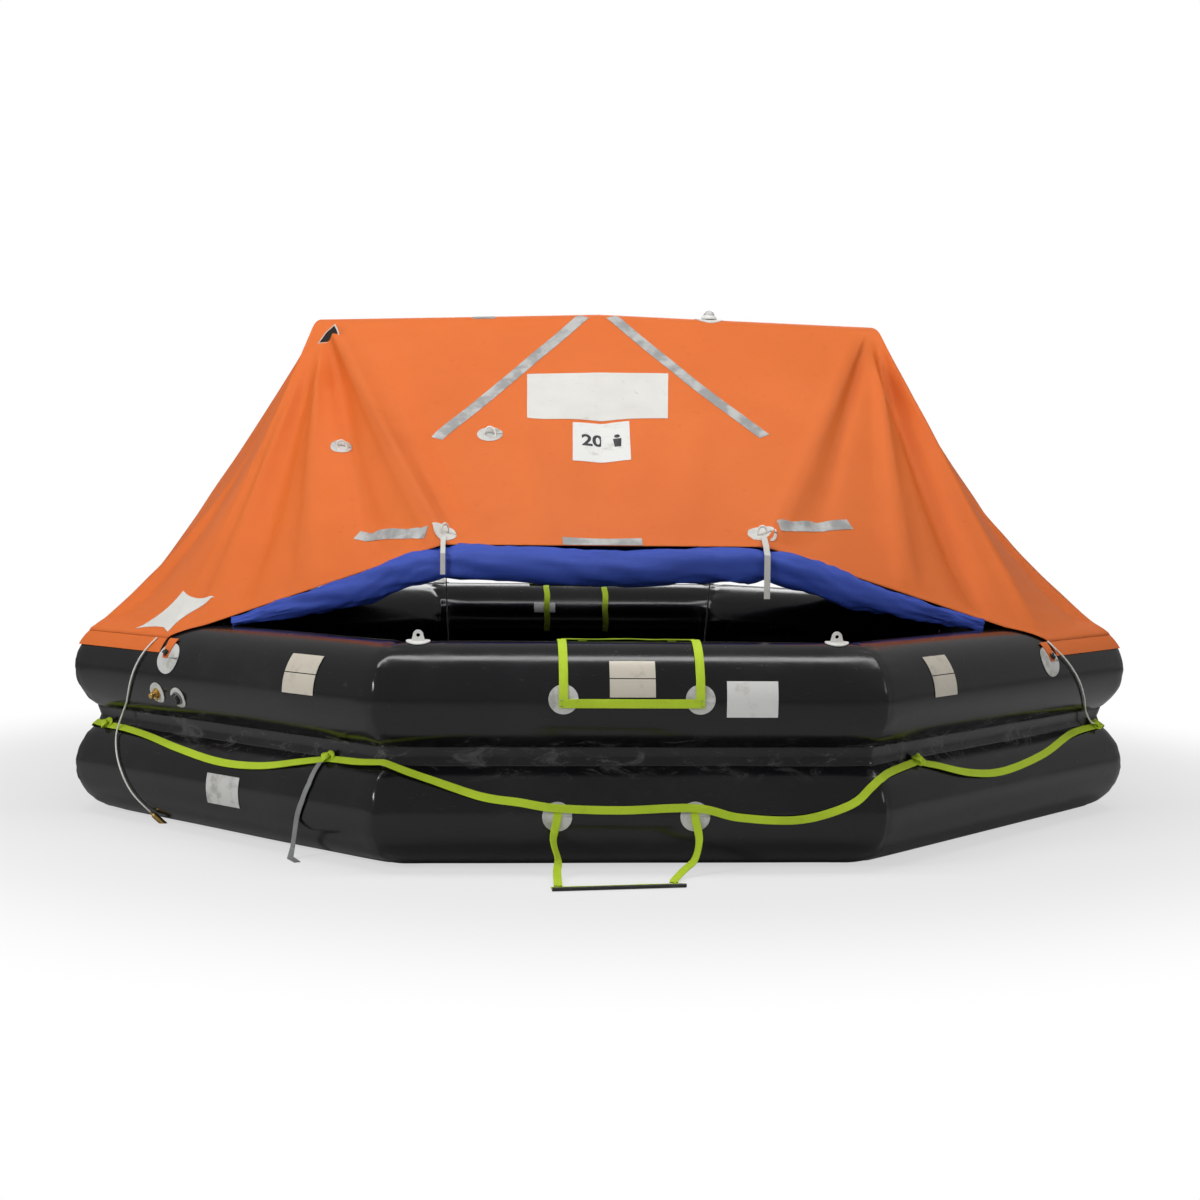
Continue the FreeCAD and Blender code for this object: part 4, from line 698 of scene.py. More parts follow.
def pushedOut(point, room=0.0):
    # moves a place on the cloth out of the arch and out of the upper tube
    way = -1 if point.x < 0 else 1
    for first, last in zip(archLine, archLine[1:]):
        start = Vector((first.x * way, 0, first.z))
        run = Vector((last.x * way, 0, last.z)) - start
        share = max(0.0, min(1.0, (point - start).dot(run) / run.dot(run)))
        nearest = start + run * share
        off = point - nearest
        if 0 < off.length < wrapRadius:
            point = nearest + off * (wrapRadius / off.length)
    keep = tubeRadius + clothLift + room
    outward, alongWay, out, up = aroundTube(point, upperHeight)
    reach = math.hypot(out, up)
    if 0 < reach < keep:
        flat = alongWay * alongWay.dot(point) + outward * (apothem + out * keep / reach)
        point = Vector((flat.x, flat.y, upperHeight + up * keep / reach))
    return point


def hung(top, bottom, share, sag):
    place = top.lerp(bottom, share) - Vector((0, 0, sag * 4 * share * (1 - share)))
    return pushedOut(place, raft["hemRoom"])


def wrapped(top, bottom, share, sag):
    # starts along the top of the arch, leaves it and hangs to the bottom
    radius = wrapRadius
    centre = top.z - radius
    reach = abs(bottom.y)
    drop = bottom.z - centre
    far = math.hypot(reach, drop)
    wrap = math.atan2(reach, drop) - math.acos(radius / far)
    straight = math.sqrt(far ** 2 - radius ** 2)
    travel = share * (radius * wrap + straight)
    if travel < radius * wrap:
        across, rise = radius * math.sin(travel / radius), radius * math.cos(travel / radius)
    else:
        part = (travel - radius * wrap) / straight
        across = radius * math.sin(wrap) * (1 - part) + reach * part
        rise = radius * math.cos(wrap) * (1 - part) + drop * part - sag * 4 * part * (1 - part)
    over = top.x + (bottom.x - top.x) * across / reach
    place = Vector((over, across * (1 if bottom.y > 0 else -1), centre + rise))
    return pushedOut(place, raft["hemRoom"])


def tiePoint(across, isRear):
    return Vector((across, tieReach * (1 if isRear else -1), cloth["tieHeight"]))


def hemPoint(side, along):
    return tubePoint(side, along, cloth["hemAngle"], upperHeight, clothLift)


def endColumns(isRear):
    # each column's place on the ridge and on the door edge
    sides = ((rearLeft, 1), (rearRight, -1)) if isRear else ((frontLeft, -1), (frontRight, 1))
    corners = [hemPoint(side, cloth["cornerAlong"] * way) for side, way in sides]
    reach = (cloth["rearTie"], cloth["rearTie"]) if isRear else (cloth["tieLeft"], cloth["tieRight"])
    ties = (tiePoint(-reach[0], isRear), tiePoint(reach[1], isRear))
    wing = [(step / cloth["wing"]) ** 1.25 for step in range(cloth["wing"])]
    columns = [(ridgePoint(-1), corners[0].lerp(ties[0], share)) for share in wing]
    for step in range(cloth["middle"] + 1):
        share = step / cloth["middle"]
        columns.append((ridgePoint(share * 2 - 1), ties[0].lerp(ties[1], share)))
    return columns + [(ridgePoint(1), corners[1].lerp(ties[1], share)) for share in reversed(wing)]


def clothShares():
    count = cloth["rows"]
    return [mixed(row / count, ease(0, 1, row / count), 0.35) for row in range(count + 1)]


def endGrid(isRear):
    columns = endColumns(isRear)
    grid = [[wrapped(top, bottom, share, cloth["frontSag"]) for top, bottom in columns]
            for share in clothShares()]
    grid[-1][0] = columns[0][1]
    grid[-1][-1] = columns[-1][1]
    return grid


def sideSag(share):
    base = mixed(cloth["frontSag"], cloth["legSag"], math.sin(math.pi * share) ** 2)
    return mixed(base, cloth["cornerSag"], math.sin(2 * math.pi * share) ** 2)


def sideGrid(way, frontGrid, rearGrid):
    # columns from the ridge's end to the hem on three sides, joined to both end panels
    along = cloth["cornerAlong"]
    half = (apothem + (tubeRadius + clothLift) * math.cos(math.radians(cloth["hemAngle"]))) * halfTurn
    count, corner = cloth["sideMiddle"], cloth["sideCorner"]
    first = [along] + [mixed(along, half, ease(-0.6, 1, step / corner)) for step in range(1, corner + 1)]
    middle = [mixed(-half, half, mixed(step / count, ease(0, 1, step / count), 0.5))
              for step in range(1, count + 1)]
    last = [-place for place in reversed(first[:-1])]
    sides = (frontLeft, left, rearLeft) if way < 0 else (frontRight, right, rearRight)
    hem = [(0.25 * (place - along) / (half - along), sides[0], place) for place in first]
    hem += [(0.5 + 0.25 * place / half, sides[1], place) for place in middle]
    hem += [(1 - 0.25 * (-place - along) / (half - along), sides[2], place) for place in last]
    seam = 0 if way < 0 else -1
    grid = []
    for share, frontRow, rearRow in zip(clothShares(), frontGrid, rearGrid):
        row = []
        for turn, side, place in hem:
            bottom = hemPoint(side, place * way)
            row.append(bottom if share == 1 else hung(ridgePoint(way), bottom, share, sideSag(turn)))
        row[0], row[-1] = frontRow[seam], rearRow[seam]
        grid.append(row)
    return grid


# each fold: column as a share of the panel, height, width, where it starts and ends down the cloth
sideFolds = [
    (0.13, -0.014, 0.06, 0.1, 0.95),
    (0.24, 0.012, 0.035, 0.05, 0.95),
    (0.38, -0.008, 0.06, 0.3, 0.95),
    (0.62, -0.008, 0.06, 0.3, 0.95),
    (0.76, 0.012, 0.035, 0.05, 0.95),
    (0.87, -0.014, 0.06, 0.1, 0.95),
]
folds = {
    "front": [
        (0.278, 0.026, 0.028, 0.02, 1.0),
        (0.315, -0.016, 0.045, 0.05, 0.95),
        (0.228, -0.022, 0.060, 0.06, 0.95),
        (0.165, 0.018, 0.034, 0.10, 1.0),
        (0.10, -0.018, 0.050, 0.1, 0.95),
        (0.055, 0.012, 0.030, 0.2, 1.0),
        (0.722, 0.014, 0.030, 0.02, 1.0),
        (0.755, -0.014, 0.045, 0.05, 0.9),
        (0.84, 0.018, 0.035, 0.08, 1.0),
        (0.91, -0.034, 0.060, 0.05, 0.97),
        (0.985, 0.020, 0.030, 0.02, 0.95),
        (0.42, 0.007, 0.05, 0.3, 1.0),
        (0.5, -0.010, 0.12, 0.3, 0.95),
        (0.6, 0.006, 0.06, 0.4, 1.0),
    ],
    "rear": [
        (0.278, 0.016, 0.032, 0.02, 1.0),
        (0.32, -0.014, 0.05, 0.05, 0.9),
        (0.72, 0.016, 0.032, 0.02, 1.0),
        (0.68, -0.014, 0.05, 0.05, 0.9),
        (0.08, -0.014, 0.05, 0.1, 0.95),
        (0.92, -0.014, 0.05, 0.1, 0.95),
    ],
    "left": sideFolds,
    "right": sideFolds,
}
# how strongly each kind of panel folds, and where down the cloth the folds set in
foldStrength = {
    "end": 1.8,
    "endStart": (0.0, 0.12),
    "side": 1.2,
    "sideStart": (0.3, 0.6),
    "billow": 0.006,
    "crumple": 0.0032,
    "tieWrinkle": 0.0055,
    "tieReach": 0.7,
    "relaxRounds": 12,
    "relaxHold": 0.6,
}


def foldRise(place, spots, mine, share, strength):
    # how far the folds lift a place out of its panel
    rise = foldStrength["billow"] * noise.noise(place * 2.3)
    rise += foldStrength["crumple"] * noise.noise(place * 6.1 + Vector((3, 1, 7)))
    for spot, (where, height, width, start, stop) in zip(spots, mine):
        sway = 0.02 * noise.noise(Vector((where * 31, share * 3.2, 0.4)))
        away = abs((place - spot).length + sway) / (width * (0.4 + 0.5 * share))
        fade = ease(start, start + 0.2, share) * (1 - 0.7 * ease(stop - 0.2, stop + 0.05, share))
        rise += strength * height * math.exp(-away ** 1.5) * fade
    return rise


def tieRise(place, tie):
    # wrinkles that spread from a tie
    off = place - tie
    if off.length >= foldStrength["tieReach"]:
        return 0.0
    wave = math.cos(math.atan2(off.z, off.x) * 13 + tie.x * 3)
    return foldStrength["tieWrinkle"] * wave * ease(0.02, 0.1, off.length) * math.exp(-off.length / 0.2)


def foldedGrid(name, grid):
    # lays the folds, the wrinkles at the ties and a slight billow over a panel
    ties = [tiePoint(-cloth["tieLeft"], False), tiePoint(cloth["tieRight"], False),
            tiePoint(-cloth["rearTie"], True), tiePoint(cloth["rearTie"], True)]
    kind = "end" if name in ("front", "rear") else "side"
    middle = Vector((0, 0, upperHeight))
    rows, wide = len(grid), len(grid[0])
    moved = []
    for row, share in enumerate(clothShares()):
        keep = ease(*foldStrength[kind + "Start"], share) * (1 - ease(0.955, 1.0, share))
        spots = [grid[row][min(wide - 1, round(fold[0] * (wide - 1)))] for fold in folds[name]]
        line = []
        for column, place in enumerate(grid[row]):
            down = grid[min(rows - 1, row + 1)][column] - grid[max(0, row - 1)][column]
            normal = runAt(grid[row], column).cross(down)
            if normal.length < 1e-9:
                line.append(place)
                continue
            normal.normalize()
            if normal.dot(place - middle) < 0:
                normal = -normal
            rise = foldRise(place, spots, folds[name], share, foldStrength[kind])
            rise += sum(tieRise(place, tie) for tie in ties)
            edge = min(column, wide - 1 - column)
            settle = 1 if edge > 3 else 0.25 + 0.25 * edge
            line.append(pushedOut(place + normal * rise * keep * settle))
        moved.append(line)
    return moved


def relaxed(grid):
    # evens out the upper part of a side panel, where the arch pushes its columns together
    shares = clothShares()
    for step in range(foldStrength["relaxRounds"]):
        eased = [list(row) for row in grid]
        for row in range(1, len(grid) - 1):
            hold = foldStrength["relaxHold"] * (1 - ease(0.4, 0.6, shares[row]))
            for column in range(1, len(grid[0]) - 1):
                around = (grid[row - 1][column] + grid[row + 1][column] + grid[row][column - 1]
                          + grid[row][column + 1]) / 4
                eased[row][column] = grid[row][column].lerp(around, hold)
        grid = eased
    return grid


def panelSkin(name, grid):
    # one panel's skin, wound to face away from the raft's middle
    points = [place for row in grid for place in row]
    middle = Vector((0, 0, upperHeight))
    uvs = []
    for row in grid:
        across = 0.0
        for column, place in enumerate(row):
            across += (place - row[column - 1]).length if column else 0.0
            uvs.append((across, (place - grid[0][column]).length))
    faces = gridFaces(len(grid), len(grid[0]))
    outward = 0.0
    for first, beside, across, below in faces:
        place = points[across]
        outward += (place - points[first]).cross(points[below] - points[first]).dot(place - middle)
    if outward < 0:
        faces = [tuple(reversed(ring)) for ring in faces]
    return makeMesh(name, points, faces, uvs)


def addCanopy():
    ends = (endGrid(False), endGrid(True))
    shaped = {name: foldedGrid(name, grid) for name, grid in zip(("front", "rear"), ends)}
    for name, way, seam in (("left", -1, 0), ("right", 1, -1)):
        # the side panels take the end panels' own seam line
        folded = foldedGrid(name, sideGrid(way, *ends))
        for row, frontRow, rearRow in zip(folded, shaped["front"], shaped["rear"]):
            row[0], row[-1] = frontRow[seam], rearRow[seam]
        shaped[name] = relaxed(folded)
    panels = [panelSkin(f"{name}_cloth", grid) for name, grid in shaped.items()]
    selectOnly(*panels)
    bpy.ops.object.join()
    panels[0].name = "canopy_cloth"
    editWhole(panels[0], (bpy.ops.mesh.remove_doubles, {"threshold": 0.0001}),
              (bpy.ops.mesh.dissolve_degenerate, {"threshold": 0.0001}))
    return panels[0]


canopy = addCanopy()
canopyTree = BVHTree.FromObject(canopy, bpy.context.evaluated_depsgraph_get())


def onCanopy(place):
    # the nearest place on the cloth and the way out of it
    spot, normal, index, far = canopyTree.find_nearest(Vector(place))
    if normal.dot(spot - Vector((0, 0, upperHeight))) < 0:
        normal = -normal
    return spot, normal


def finishCanopy():
    thick = canopy.modifiers.new("wall", "SOLIDIFY")
    thick.thickness = cloth["thickness"]
    thick.offset = -1
    selectOnly(canopy)
    bpy.ops.object.modifier_apply(modifier="wall")
    shadeSmooth(canopy)
    panels = [f"{name}_canopy_panel" for name in ("front", "rear", "left", "right")]
    dress(canopy, finishes["orange"], slot="orange_canopy", replaced=panels)


def addArch():
    # the arch tube, its bends rounded
    corner = archLine[1]
    half = [corner.lerp(archLine[2], share) for share in (0.97, 0.5, 0.1)]
    half += [corner + Vector((-0.06, 0, -0.012)), Vector((0.5, 0, corner.z + raft["ridgeBow"] * 0.5))]
    places = [Vector((-place.x, 0, place.z)) for place in half]
    places += [archLine[0].copy()] + half[::-1]
    line = smoothLine(places, 9)
    across = Vector((0, 1, 0))
    rings = []
    for index, place in enumerate(line):
        up = across.cross(runAt(line, index).normalized())
        ring = []
        for turn in range(40):
            angle = math.tau * turn / 40
            radius = raft["archRadius"] - 0.0015 + 0.001 * noise.noise(place * 4 + Vector((angle, 0, 0)))
            ring.append(place + across * radius * math.cos(angle) + up * radius * math.sin(angle))
        rings.append(ring)
    arch = loftRings("canopy_arch", rings)
    dress(arch, finishes["rubber"], slot="black_tube", replaced=("canopy_arch_tube",))


floorSkin = {
    "pitch": 0.16,
    "swell": 0.012,
    "drop": 0.013,
    "edge": 0.008,
    "rings": 30,
    "parts": 12,
}


def addFloor():
    # the inflated floor: its skin swells between lines of ties
    low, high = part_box("inflatable_floor")
    top, bottom, reach = high[2], low[2], high[0] - 0.002
    rings = []
    for step in range(floorSkin["rings"] + 1):
        share = step / floorSkin["rings"]
        fall = floorSkin["swell"] * ease(0.96, 1, share)
        ring = []
        for side in range(8):
            outward, alongWay = sideFrame(side)
            for part in range(floorSkin["parts"]):
                along = (part / floorSkin["parts"] * 2 - 1) * halfTurn
                place = (outward - alongWay * along) * reach * max(share, 0.004)
                swell = abs(math.sin(place.x * math.pi / floorSkin["pitch"])) * floorSkin["swell"]
                place.z = top - floorSkin["drop"] + swell * (1 - ease(0.9, 1, share)) - fall
                ring.append(place)
        rings.append(ring)
    for share, rise in ((1, floorSkin["edge"]), (0.995, 0), (0.01, 0)):
        rings.append([Vector((place.x * share, place.y * share, bottom + rise)) for place in ring])
    floor = loftRings("floor_skin", rings)
    dress(floor, finishes["innerRubber"], slot="floor_fabric", replaced=("inflatable_floor",))


def addSkirt(name, node, sides):
    # the band that glues the hem down, with small puckers
    grid = []
    along = cloth["cornerAlong"]
    for level in range(7):
        angle = mixed(cloth["hemLow"], cloth["hemTop"], level / 6)
        half = (apothem + (tubeRadius + 0.002) * math.cos(math.radians(angle))) * halfTurn
        row = []
        for number, side in enumerate(sides):
            start = along if number == 0 else -half
            stop = -along if number == 2 else half
            for step in range(31):
                place = mixed(start, stop, step / 30)
                ripple = cloth["pucker"] * noise.noise(Vector((side * 9 + place * 26, angle * 0.14, 1)))
                row.append((tubePoint(side, place, angle, upperHeight, 0.0006 + abs(ripple)),
                            radialWay(side, angle)))
        grid.append(row)
    skirt = slab(name, grid, 0, cloth["skirtThickness"])
    dress(skirt, finishes["orange"], slot="orange_canopy", replaced=(node,))
    length = sum((after[0] - before[0]).length for before, after in zip(grid[0], grid[0][1:]))


rolls = {
    "full": 0.046,
    "thin": 0.020,
    "around": 34,
    "wrinkle": 0.009,
    "wide": 0.92,
    "tall": 1.32,
    "drop": 0.3,
    "lipTurn": 4.2,
    "pinch": 0.16,
    "pinchReach": 0.03,
}


def addRoll(name, node, isRear):
    # a rolled up door: the cloth's free edge shows as a lip along the roll
    way = 1 if isRear else -1
    columns = endColumns(isRear)
    corners = (columns[0][1], columns[-1][1])
    ties = (columns[cloth["wing"]][1], columns[cloth["wing"] + cloth["middle"]][1])
    full, thin = rolls["full"], rolls["thin"]
    taper = ((0.76, thin * 0.6), (0.6, thin * 1.2), (0.3, full * 0.88), (0, full))
    stations = [(ties[0].lerp(corners[0], share), radius) for share, radius in taper]
    stations.append(((ties[0] + ties[1]) * 0.5 - Vector((0, 0, full / 5)), full * 1.04))
    stations += [(ties[1].lerp(corners[1], share), radius) for share, radius in reversed(taper)]
    line = smoothLine([edge + Vector((0, way * 0.004, -radius - 0.004)) for edge, radius in stations], 16)
    sizes = smoothLine([Vector((radius, 0, 0)) for edge, radius in stations], 16)
    rings = []
    for index, place in enumerate(line):
        run, size = runAt(line, index).normalized(), sizes[index].x
        out = run.cross(Vector((0, 0, 1))).normalized() * (-way if run.x > 0 else way)
        up = out.cross(run).normalized()
        if up.z < 0:
            up = -up
        tied = min(abs(place.x - tie.x) for tie in ties)
        pinch = 1 - rolls["pinch"] * math.exp(-(tied / rolls["pinchReach"]) ** 2)
        ring = []
        for turn in range(rolls["around"]):
            angle = math.tau * turn / rolls["around"]
            lip = 0.0045 * (turn / rolls["around"]) - 0.003
            spiral = noise.noise(Vector((place.x * 6, angle * 1.6 + place.x * 7, way)))
            fine = noise.noise(Vector((place.x * 22, angle * 4, way * 3)))
            radius = size * pinch * 0.96 + lip + rolls["wrinkle"] * (spiral + fine * 0.5)
            aside = out * radius * rolls["wide"] * math.cos(angle + rolls["lipTurn"])
            above = up * (radius * rolls["tall"] * math.sin(angle + rolls["lipTurn"]) - size * rolls["drop"])
            ring.append(place + aside + above)
        rings.append(ring)
    roll = loftRings(name, rings, angle=50)
    dress(roll, finishes["blue"], slot="blue_door", replaced=(node,))


# the vent's rings as (share of its outline, share of its depth): outside, inside, and a near-black sheet
# that paints the shade in the opening
vent = {
    "grow": 1.45,
    "bow": 0.005,
    "sleeve": ((1.0, 1.0), (1.03, 0.1), (1.0, 0.0), (0.87, 0.0), (0.86, 0.1), (0.8, 0.9)),
    "shadeFill": ((0.87, 0.06), (0.5, 0.12), (0.02, 0.12)),
}


def addHood():
    # a three-cornered sleeve of cloth at the ridge's left end, open to the front, with a near-black sheet of
    # painted shade inside
    low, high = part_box("vent_hood")
    corners = [Vector((low[0] + 0.004, low[1], low[2] + 0.004)),
               Vector((high[0] - 0.004, low[1], low[2] + 0.014)),
               Vector((high[0] - 0.016, low[1], high[2] - 0.004))]
    middle = sum(corners, Vector()) / 3
    corners = [middle + (corner - middle) * vent["grow"] for corner in corners]
    back = Vector((0, high[1] - low[1] + 0.004, 0))
    outline = []
    for first, last in zip(corners, corners[1:] + corners[:1]):
        for step in range(9):
            place = first.lerp(last, step / 9)
            bow = math.sin(math.pi * step / 9) * vent["bow"]
            outline.append(place + (place - middle).normalized() * bow)

    def rings(stations):
        return [[middle + (place - middle) * share + back * depth for place in outline]
                for share, depth in stations]

    sleeve = loftRings("vent_sleeve", rings(vent["sleeve"]), caps=False, angle=60)
    dress(sleeve, finishes["white"], slot="white_trim", replaced=("vent_hood",))
    # painted shade: a near-black sheet across the sleeve stands in for the shade inside the opening
    shadeFill = rings(vent["shadeFill"])
    behind = [[place + Vector((0, 0.001, 0)) for place in ring] for ring in reversed(shadeFill)]
    dress(loftRings("vent_lining", shadeFill + behind, angle=60), finishes["dark"])


addArch()
addFloor()
addSkirt("left_skirt", "left_canopy_skirt", (rearLeft, left, frontLeft))
addSkirt("right_skirt", "right_canopy_skirt", (frontRight, right, rearRight))
addRoll("front_roll", "front_door_roll", False)
addRoll("rear_roll", "rear_door_roll", True)
addHood()
finishCanopy()
print("arch, floor, skirts, rolled doors and vent made")


# patches and tapes draped on the cloth

trim = {
    "lift": 0.0006,
    "tapeWidth": 0.047,
    "tapeThickness": 0.0009,
    "tapeStep": 0.012,
    "panelThickness": 0.001,
    "panelStep": 0.01,
    "discThickness": 0.0012,
}
# each tape runs between two places
tapeRuns = [
    ((-0.059, -0.05, 1.828), (-0.616, -0.718, 1.335)),
    ((0.047, -0.05, 1.828), (0.563, -0.691, 1.353)),
    ((-0.186, -1.262, 0.984), (0.077, -1.262, 0.984)),
    ((-0.876, -1.052, 1.008), (-0.636, -1.215, 1.003)),
    ((0.537, -1.172, 1.033), (0.824, -1.002, 1.045)),
]
# each panel: its solid, its finish, how far its edges draw in, and its corners
clothPanels = {
    "blank_panel": ("front_blank_panel", "white", 0.0, (
        (-0.286, -0.364, 1.567), (0.244, -0.346, 1.579), (0.220, -0.605, 1.409), (-0.291, -0.615, 1.403))),
    "number_plate": ("capacity_plate", "label", 0.0, (
        (-0.126, -0.629, 1.393), (0.078, -0.620, 1.399), (0.070, -0.828, 1.263), (-0.134, -0.836, 1.258))),
    "corner_panel": ("corner_blank_panel", "white", 0.12, (
        (-1.488, -0.905, 0.800), (-1.354, -1.049, 0.796), (-1.512, -1.06, 0.668), (-1.64, -0.925, 0.668))),
}
# each round patch with its lace: place, diameter, and the lace's radius, thickness, height and lean
tieDiscs = {
    "tie_left": ((-0.58, -1.227, 1.004), 0.094, (0.016, 0.003, 1.6, 0.7)),
    "tie_right": ((0.481, -1.215, 1.012), 0.094, (0.016, 0.003, 1.6, 0.7)),
}
loopDiscs = {
    "loop_left": ((-0.953, -0.636, 1.316), 0.078, (0.018, 0.0028, 1.3, 0.5)),
    "loop_middle": ((-0.425, -0.697, 1.349), 0.092, (0.02, 0.003, 1.5, 0.5)),
}


def drapedStrip(name, start, stop):
    # a straight tape laid over the cloth between two places
    start, stop = Vector(start), Vector(stop)
    steps = max(6, round((stop - start).length / trim["tapeStep"]))
    grid = []
    for step in range(steps + 1):
        spot, out = onCanopy(start.lerp(stop, step / steps))
        across = (stop - start).cross(out).normalized() * trim["tapeWidth"]
        grid.append([onCanopy(spot + across * (column / 5 - 0.5)) for column in range(6)])
    strip = slab(name, grid, trim["lift"], trim["lift"] + trim["tapeThickness"])
    return dress(strip, finishes["tape"])


def drapedQuad(name, node, finish, bow, corners):
    # a four-cornered patch; bow draws its edges in between the corners
    first, second, third, fourth = [Vector(corner) for corner in corners]
    down = max(6, round((fourth - first).length / trim["panelStep"]))
    wide = max(6, round((second - first).length / trim["panelStep"]))
    grid = []
    for step in range(down + 1):
        row = []
        for part in range(wide + 1):
            fall, turn = step / down, part / wide
            across = turn + bow * math.sin(math.pi * fall) * (1 - 2 * turn)
            below = fall + bow * math.sin(math.pi * turn) * (1 - 2 * fall)
            row.append(onCanopy(first.lerp(second, across).lerp(fourth.lerp(third, across), below)))
        grid.append(row)
    patch = slab(name, grid, trim["lift"], trim["lift"] + trim["panelThickness"])
    dress(patch, finishes[finish], slot="white_trim", replaced=(node,))


def drapedDisc(name, middle, diameter, material):
    spot, out = onCanopy(middle)
    up = out.cross(Vector((1, 0, 0))).normalized()
    side = up.cross(out).normalized()
    grid = []
    for step in range(7):
        reach = diameter / 2 * max(step / 6, 0.02)
        angles = [math.tau * turn / 36 for turn in range(37)]
        grid.append([onCanopy(spot + side * reach * math.cos(angle) + up * reach * math.sin(angle))
                     for angle in angles])
    disc = roundSlab(name, grid, trim["lift"], trim["lift"] + trim["discThickness"])
    return dress(disc, material)


def laceLoop(name, middle, radius, thick, tall, lean):
    # a small loop of lace standing out of a patch
    spot, out = onCanopy(middle)
    bpy.ops.mesh.primitive_torus_add(major_radius=radius, minor_radius=thick, major_segments=28,
                                     minor_segments=8)
    loop = bpy.context.object
    loop.name = name
    for vertex in loop.data.vertices:
        vertex.co.y *= tall
        vertex.co.z += 0.004 * noise.noise(vertex.co * 60)
    side = Vector((0, 0, 1)).cross(out).normalized()
    up = out.cross(side)
    upright = up * math.cos(lean) + out * math.sin(lean)
    turn = Matrix((side, upright, out * math.cos(lean) - up * math.sin(lean))).transposed().to_4x4()
    loop.matrix_world = Matrix.Translation(spot + out * 0.006 - up * radius * 0.4) @ turn
    applyPlace(loop)
    shadeSmooth(loop)
    return dress(loop, finishes["cord"])


def addCanopyTrim():
    strips = [drapedStrip(f"tape_{number}", *run) for number, run in enumerate(tapeRuns)]
    joined("silver_tapes", strips, "silver_tape", ("canopy_tapes",))
    for name, values in clothPanels.items():
        drapedQuad(name, *values)
    for name, group, finish, slot, node in (
            ("tie_discs", tieDiscs, "white", "white_trim", "tie_patches"),
            ("loop_discs", loopDiscs, "patch", "grey_patch", "loop_patches")):
        discs = [drapedDisc(f"{tag}_patch", place, diameter, finishes[finish])
                 for tag, (place, diameter, lace) in group.items()]
        joined(name, discs, slot, (node,))
    laces = [laceLoop(f"{tag}_lace", place, *lace)
             for tag, (place, diameter, lace) in (loopDiscs | tieDiscs).items()]
    joined("patch_laces", laces, "white_cord")


# the plate's print: a number and a plain standing figure
plate = {
    "middle": (-0.03, -0.72, 1.33),
    "number": "20",
    "size": 0.1,
    "bold": 0.003,
    "narrow": 0.78,
    "numberShift": -0.028,
    "figureShift": 0.064,
    "head": 0.011,
    "headRise": 0.028,
    "trunkRise": -0.01,
    "trunk": ((-0.012, -0.03), (0.012, -0.03), (-0.016, 0.022), (0.016, 0.022)),
    "lift": 0.00185,
}


def addNumber():
    spot, out = onCanopy(plate["middle"])
    side = (Vector((1, 0, 0)) - out * out.x).normalized()
    up = out.cross(side).normalized()
    bpy.ops.object.text_add()
    word = bpy.context.object
    word.name = "plate_number"
    word.data.body = plate["number"]
    word.data.size = plate["size"]
    word.data.align_x = "CENTER"
    word.data.align_y = "CENTER"
    word.data.resolution_u = 6
    word.data.offset = plate["bold"]
    bpy.ops.object.convert(target="MESH")
    bpy.ops.mesh.primitive_circle_add(radius=plate["head"], vertices=24, fill_type="NGON",
                                      location=(plate["figureShift"], plate["headRise"], 0))
    head = bpy.context.object
    bpy.ops.mesh.primitive_plane_add(size=1, location=(plate["figureShift"], plate["trunkRise"], 0))
    trunk = bpy.context.object
    for vertex, corner in zip(trunk.data.vertices, plate["trunk"]):
        vertex.co = (*corner, 0)
    word.scale.x = plate["narrow"]
    word.location.x = plate["numberShift"]
    for piece in (word, head, trunk):
        applyPlace(piece)
    selectOnly(word, head, trunk)
    bpy.ops.object.join()
    editWhole(word, (bpy.ops.mesh.quads_convert_to_tris, {}), (bpy.ops.mesh.subdivide, {"number_cuts": 2}))
    for vertex in word.data.vertices:
        ground, way = onCanopy(spot + side * vertex.co.x + up * vertex.co.y)
        vertex.co = ground + way * plate["lift"]
    shadeSmooth(word)
    dress(word, finishes["print"])


addCanopyTrim()
addNumber()
print("canopy trim made")


# patches, labels and webbing on the tubes

# each patch: its side of the raft, then its reach along the side and round the tube, in degrees
reflectiveCells = [
    (front, (-0.067, 0.071), (6, 24.5)),
    (front, (-0.067, 0.071), (25.5, 45)),
    (frontLeft, (0.363, 0.510), (0, 21)),
    (frontLeft, (0.363, 0.510), (22, 43)),
    (frontRight, (-0.513, -0.383), (0, 22)),
    (frontRight, (-0.513, -0.383), (23, 45)),
]
# each plain label also has its tube, finish, slot and, where it has one, its solid
plainLabels = {
    "bare_label": (front, (0.286, 0.441), (-14, 22.6), upperHeight, "label", "white_trim", ("front_label",)),
    "lower_bare_label": (frontLeft, (-0.023, 0.143), (-17, 16), lowerHeight, "patch", "grey_patch",
                         ("lower_label",)),
    "inside_labels": (rear, (-0.82, -0.70), (140, 172), upperHeight, "beige", "silver_tape", ()),
    "inside_plain_label": (rear, (0.1, 0.2), (150, 166), upperHeight, "label", "grey_patch", ()),
}
labelLift = 0.0004
labelThickness = 0.0012


def tubePatch(name, side, alongs, angles, height, material):
    grid = []
    for step in range(11):
        along = mixed(*alongs, step / 10)
        turns = [mixed(*angles, part / 12) for part in range(13)]
        grid.append([(tubePoint(side, along, angle, height, labelLift), radialWay(side, angle))
                     for angle in turns])
    return dress(slab(name, grid, 0, labelThickness), material)


def addTubeLabels():
    cells = [tubePatch("reflective_cell", *cell, upperHeight, finishes["beige"]) for cell in reflectiveCells]
    joined("reflective_tapes", cells, "silver_tape", ("reflective_patches",))
    for name, (side, alongs, angles, height, finish, slot, nodes) in plainLabels.items():
        joined(name, [tubePatch(name, side, alongs, angles, height, finishes[finish])], slot, nodes)


addTubeLabels()


